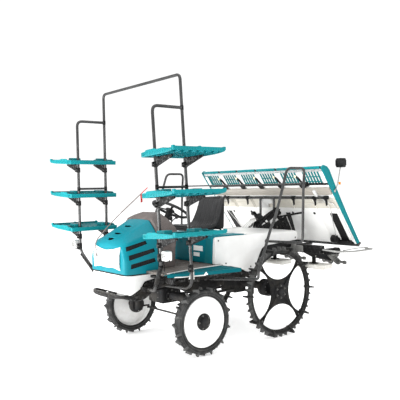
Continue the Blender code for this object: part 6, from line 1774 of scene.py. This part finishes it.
def seedling_board():
    """The six-lane seedling board: white sheets, beige recesses, a grey channel and ribbed lanes."""
    lanes, beige, dark, belts = [block((0.001, -0.9625, 0.002), (0.789, 0.9625, 0.016))], [], [], []
    for index in range(6):
        low = FIRST_LANE + LANE * index
        lanes.append(block((0.0, low + 0.0015, -0.0045), (0.488, low + LANE - 0.0015, 0.006), 0.003, 2))
        lanes.append(block((0.64, low + 0.0015, -0.0045), (0.684, low + LANE - 0.0015, 0.006), 0.002, 1))
        lanes.append(row(block((0.004, -0.0018, 0.0155), (0.788, 0.0018, 0.0205)),
                         [(0, low + 0.034 + 0.0316 * step, 0) for step in range(9)]))
        beige.append(block((0.49, low + 0.004, -0.002), (0.64, low + LANE - 0.004, 0.005), 0.002, 1))
        for y in (low + 0.016, low + LANE - 0.016):
            beige.append(block((0.486, y - 0.005, -0.009), (0.642, y + 0.005, 0.004), 0.002, 1))
        beige.append(block((0.56, low + 0.016, -0.0075), (0.571, low + LANE - 0.016, 0.004), 0.002, 1))
        for y in (low + 0.085, low + 0.236):
            belts.append(block((0.03, y - 0.026, 0.0155), (0.33, y + 0.026, 0.023), 0.003, 1))
            belts.append(row(block((-0.002, y - 0.022, 0.0225), (0.002, y + 0.022, 0.0262)),
                             [(0.045 + 0.0245 * step, 0, 0) for step in range(12)]))
    for y in (-0.751, -0.43, 0.265, 0.586):
        dark.append(bar((0.42, y, -0.004), (0.42, y, -0.009), 0.0155, 20))
    for index in range(7):
        y = FIRST_LANE + LANE * index
        inside = 0.0 if 0 < index < 6 else (0.0065 if index == 0 else -0.0065)
        lanes.append(block((0.001, y + inside - 0.006, 0.014), (0.789, y + inside + 0.006, 0.0525), 0.003, 2))
    channel = [block((0.684, -0.96, -0.0155), (0.774, 0.96, 0.004), 0.003, 2)]
    channel += [block((x - 0.004, -0.96, -0.0215), (x + 0.004, 0.96, -0.012), 0.002, 1)
                for x in (0.688, 0.728, 0.77)]
    # Painted light: the lane boards take the brighter white, for their down-facing faces.
    laid(lanes, "lane_boards", WHITE_PAINTED_LIGHT, "table_board")
    laid(beige, "lane_recesses", BEIGE_PALE)
    laid(channel, "table_channel", BEIGE)
    dark.append(both(joined([panel([(0.425, 0.8), (0.425, 0.9), (0.05, 0.895), (0.012, 0.79)], -0.0075,
            -0.004, "xy", 0.001), block((0.0, 0.7, -0.02), (0.03, 0.94, -0.004), 0.003, 1),
                             bar((0.072, 0.684, -0.026), (0.072, 0.756, -0.026), 0.046, 32, edge=0.005),
                             bar((0.072, 0.664, -0.026), (0.072, 0.776, -0.026), 0.022, 24, edge=0.003),
                             block((0.004, 0.78, -0.044), (0.06, 0.93, -0.01), 0.006, 2)])))
    pins = both(joined([tube([(0.65, 0.79, -0.01), (0.56, 0.85, -0.024), (0.48, 0.858, -0.024),
                              (0.329, 0.804, -0.022), (0.06, 0.735, -0.02)], 0.005, 0.04),
                        tube([(0.59, 0.69, -0.01), (0.606, 0.76, -0.02), (0.602, 0.84, -0.02),
                              (0.57, 0.925, -0.018), (0.445, 0.954, -0.014), (0.25, 0.95, -0.014),
                              (0.06, 0.956, -0.014)], 0.0046, 0.05)]))
    laid(dark, "table_dark_fittings", BLACK_PLASTIC)
    laid(belts, "feed_belts", RING_RUBBER)
    laid([pins], "table_side_rods", BRIGHT)
    box = panel([(0.5, -0.185), (0.508, -0.06), (0.56, -0.04), (0.572, 0.05), (0.65, 0.046), (0.655, -0.11),
                 (0.6, -0.13), (0.59, -0.19)], -0.03, -0.004, "xy", 0.006, 3)
    clip = block((0.668, 0.735, -0.035), (0.752, 0.775, -0.014), 0.005, 2)
    laid([box, clip], "white_cover_box", WHITE)


def table_frame():
    """The table's upper lattice: segmented top bar, punched strip, slats, black tube and side plates."""
    bars, slats, core = [], [], [block((1.0075, -0.962, 0.003), (1.029, 0.962, 0.0185))]
    for index in range(6):
        low = FIRST_LANE + LANE * index
        bars.append(block((1.0048, low + 0.013, 0.0002), (1.0325, low + LANE - 0.013, 0.0218), 0.004, 2))
        slats.append(row(panel([(0.812, -0.012), (0.812, 0.009), (0.975, 0.015), (0.975, -0.004)], 0.0045,
                               0.015, "xy", 0.002), [(0, low + 0.04 + 0.04 * step, 0) for step in range(6)]))
        slats.append(block((0.836, low + 0.03, 0.0055), (0.848, low + 0.252, 0.014), 0.002, 1))
        slats.append(block((0.9, low + 0.03, 0.0055), (0.91, low + 0.258, 0.014), 0.002, 1))
    outline = [(0.004, -0.0035), (0.004, 0.034), (0.05, 0.036), (0.3, 0.044), (0.55, 0.056), (0.75, 0.07),
               (0.933, 0.0895), (0.985, 0.078), (1.03, 0.04), (1.03, 0.004), (1.02, -0.003), (0.55, -0.0038)]
    plate = recessed(panel(outline, 0.9635, 0.9845, "xz", 0.004, 2), lambda c, n: abs(n.y) > 0.95
                     and abs(c.y) > 0.98, (0.011, 0.003))
    laid(bars + [both(plate)], "table_frame_teal", TEAL_TRAY, "table_frame")
    laid(slats, "table_lattice", TEAL_PALE)
    strip = block((0.972, -0.955, 0.003), (1.006, 0.955, 0.009), 0.001, 1)
    laid([strip], "punched_strip", PUNCHED)
    core.append(bar((0.815, -0.962, 0.002), (0.815, 0.962, 0.002), 0.0125, 24))
    caps, arms = [], []
    for y in (-0.69, -0.372, -0.06, 0.255, 0.575):
        caps.append(turned([(0.0005, -0.01), (0.012, -0.01), (0.0145, -0.004), (0.0135, 0.006),
                            (0.007, 0.011), (0.0005, 0.012)], (0.93, y, -0.012), "Z", 24))
        arms.append(tube([(0.93, y, -0.006), (0.905, y + 0.03, -0.01), (0.855, y + 0.04, -0.006),
                          (0.82, y + 0.06, -0.004)], 0.0115, 0.03))
        arms.append(panel([(0.835, y - 0.01), (0.835, y + 0.075), (0.79, y + 0.085), (0.765, y + 0.055),
                           (0.768, y + 0.02), (0.795, y)], -0.018, -0.0105, "xy", 0.002))
    arms.append(block((0.79, 0.65, -0.016), (0.845, 0.7, 0.01), 0.005, 2))
    laid(core + arms, "press_bar_and_arms", BLACK_GLOSS)
    laid(caps, "arm_knobs", KNOB)
    fill = both(block((0.79, 0.915, 0.002), (0.96, 0.963, 0.009), 0.002, 1))
    laid([fill], "table_corner_sheets", WHITE_PAINTED_LIGHT)
    wires = both(tube([(-0.42, 0.64, 1.372), (-0.49, 0.7, 1.392), (-0.52, 0.84, 1.402),
                       (-0.545, 0.905, 1.395), (-0.64, 0.945, 1.29)], 0.0028, 0.05))
    dress(wires, "table_wires", "seedling_table", STEEL)
    rods = [bar((x, -0.962, 0.06), (x, 0.962, 0.06), 0.004, 12) for x in (0.12, 0.24, 0.42)]
    for index in range(12):
        low = FIRST_LANE + LANE * (index // 2) + (0.08 if index % 2 == 0 else 0.24)
        rods.append(bar((0.1, low, 0.06), (0.445, low, 0.06), 0.0028, 8))
    laid(rods, "seedling_guard_rods", BRIGHT)


def rear_lamp():
    """The square rear lamp on a thin bent stem, with a small reflector beside it."""
    y = 0.9913
    foot = SLOPE @ Vector((0.7046, y, 0.02))
    knee = SLOPE @ Vector((0.7446, y, 0.102))
    place = Vector((knee.x - 0.043, y, knee.z + 0.19))
    stem = tube([foot, knee, place + Vector((-0.004, 0, -0.015))], 0.0058, 0.02)
    base = bar(foot + Vector((0, -0.005, -0.01)), foot + Vector((0, -0.005, 0.014)), 0.0095, 20)
    dress(joined([stem, base]), "rear_lamp_stem", "seedling_table", STEEL_DULL)
    body = recessed(block(place + Vector((-0.0335, -0.0445, -0.0195)),
                          place + Vector((0.0205, 0.0545, 0.0775)), 0.01, 3), lambda c, n: abs(n.x) > 0.95,
                    (0.01, 0.004), each=True)
    dress(body, "rear_lamp_body", "seedling_table", BLACK_PLASTIC, "rear_lamp", slot="lamp_housing")
    pane = block(place + Vector((-0.0325, -0.033, -0.008)), place + Vector((-0.0285, 0.043, 0.066)), 0.001, 1)
    dress(pane, "rear_lamp_pane", "seedling_table", AMBER)
    tab = block((-0.575, 0.958, 1.588), (-0.566, 0.984, 1.618), 0.003, 2)
    dress(tab, "side_reflector", "seedling_table", AMBER)


# Camera, light and floor


def studio():
    """Camera at the photograph's angle, white surroundings, soft lamps and a pale floor."""
    scene = bpy.context.scene
    scene.view_settings.view_transform = "Standard"
    lens = bpy.data.cameras.new("camera")
    lens.lens, lens.sensor_width = 52.91, 36.0
    lens.clip_end = 100
    camera = bpy.data.objects.new("camera", lens)
    scene.collection.objects.link(camera)
    yaw, pitch, roll = radians(231.2518), radians(1.1982), radians(-1.065)
    ahead = Vector((cos(yaw) * cos(pitch), sin(yaw) * cos(pitch), -sin(pitch)))
    right = Vector((sin(yaw), -cos(yaw), 0))
    up = right.cross(ahead)
    across_view = right * cos(roll) + up * sin(roll)
    upward = up * cos(roll) - right * sin(roll)
    matrix = Matrix((across_view, upward, -ahead)).transposed().to_4x4()
    matrix.translation = Vector((4.4992, 4.913, 1.583)) + AXLE
    camera.matrix_world = matrix
    scene.camera = camera
    world = bpy.data.worlds.new("studio")
    scene.world = world
    world.use_nodes = True
    world.node_tree.nodes["Background"].inputs["Color"].default_value = (1, 1, 1, 1)
    world.node_tree.nodes["Background"].inputs["Strength"].default_value = 1.1
    lamps = (
        # name: place, aimed at, size, power
        ("key", (3.0, 3.4, 5.4), (0.3, 0.0, 0.9), 3.2, 70),
        ("top", (0.6, 0.3, 6.2), (0.2, 0.0, 1.0), 4.0, 150),
        ("low_front", (4.4, -1.0, 0.7), (-0.6, 0.0, 1.3), 2.2, 300),
        ("low_side", (3.6, 3.4, 0.6), (-0.4, 0.5, 1.1), 2.2, 90),
        ("side_fill", (-2.4, 5.2, 3.0), (-0.3, 0.0, 0.9), 3.5, 30),
        ("back", (-3.5, -4.5, 3.5), (0.0, 0.0, 1.0), 3.5, 50))
    for name, place, aim, size, power in lamps:
        light = bpy.data.lights.new(name, "AREA")
        light.shape, light.size, light.energy = "SQUARE", size, power
        lamp = bpy.data.objects.new(name, light)
        lamp.location = place
        lamp.rotation_euler = (Vector(aim) - Vector(place)).to_track_quat("-Z", "Y").to_euler()
        scene.collection.objects.link(lamp)
    clear()
    bpy.ops.mesh.primitive_plane_add(size=60, location=(0, 0, -0.0005))
    floor = bpy.context.object
    floor.name = "floor"
    pale = bpy.data.materials.new("pale_floor")
    pale.use_nodes = True
    shader = pale.node_tree.nodes["Principled BSDF"]
    shader.inputs["Base Color"].default_value = (0.93, 0.93, 0.93, 1)
    shader.inputs["Roughness"].default_value = 0.9
    shader.inputs["Emission Color"].default_value = (1, 1, 1, 1)
    shader.inputs["Emission Strength"].default_value = 0.35
    floor.data.materials.append(pale)


for name, side in SIDES:
    front_wheel(name, side)
    rear_wheel(name, side)
hood()
lamp_panel()
sighting_rod()
front_skirt()
dash()
steering_wheel()
seat()
seat_box()
rear_cover()
deck()
for name, side in SIDES:
    fender(name, side)
    side_step(name, side)
racks()
for number, level in enumerate(SHELF_LEVELS, start=1):
    shelf(number, level)
work_lamps()
hand_rails()
front_axle()
knuckles()
rear_axle()
engine()
front_guard()
under_deck()
links()
planting_beam()
planting_cases()
floats()
table_support()
seedling_board()
table_frame()
rear_lamp()
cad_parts["frame"].data.materials.clear()
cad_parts["frame"].data.materials.append(BLACK)
studio()
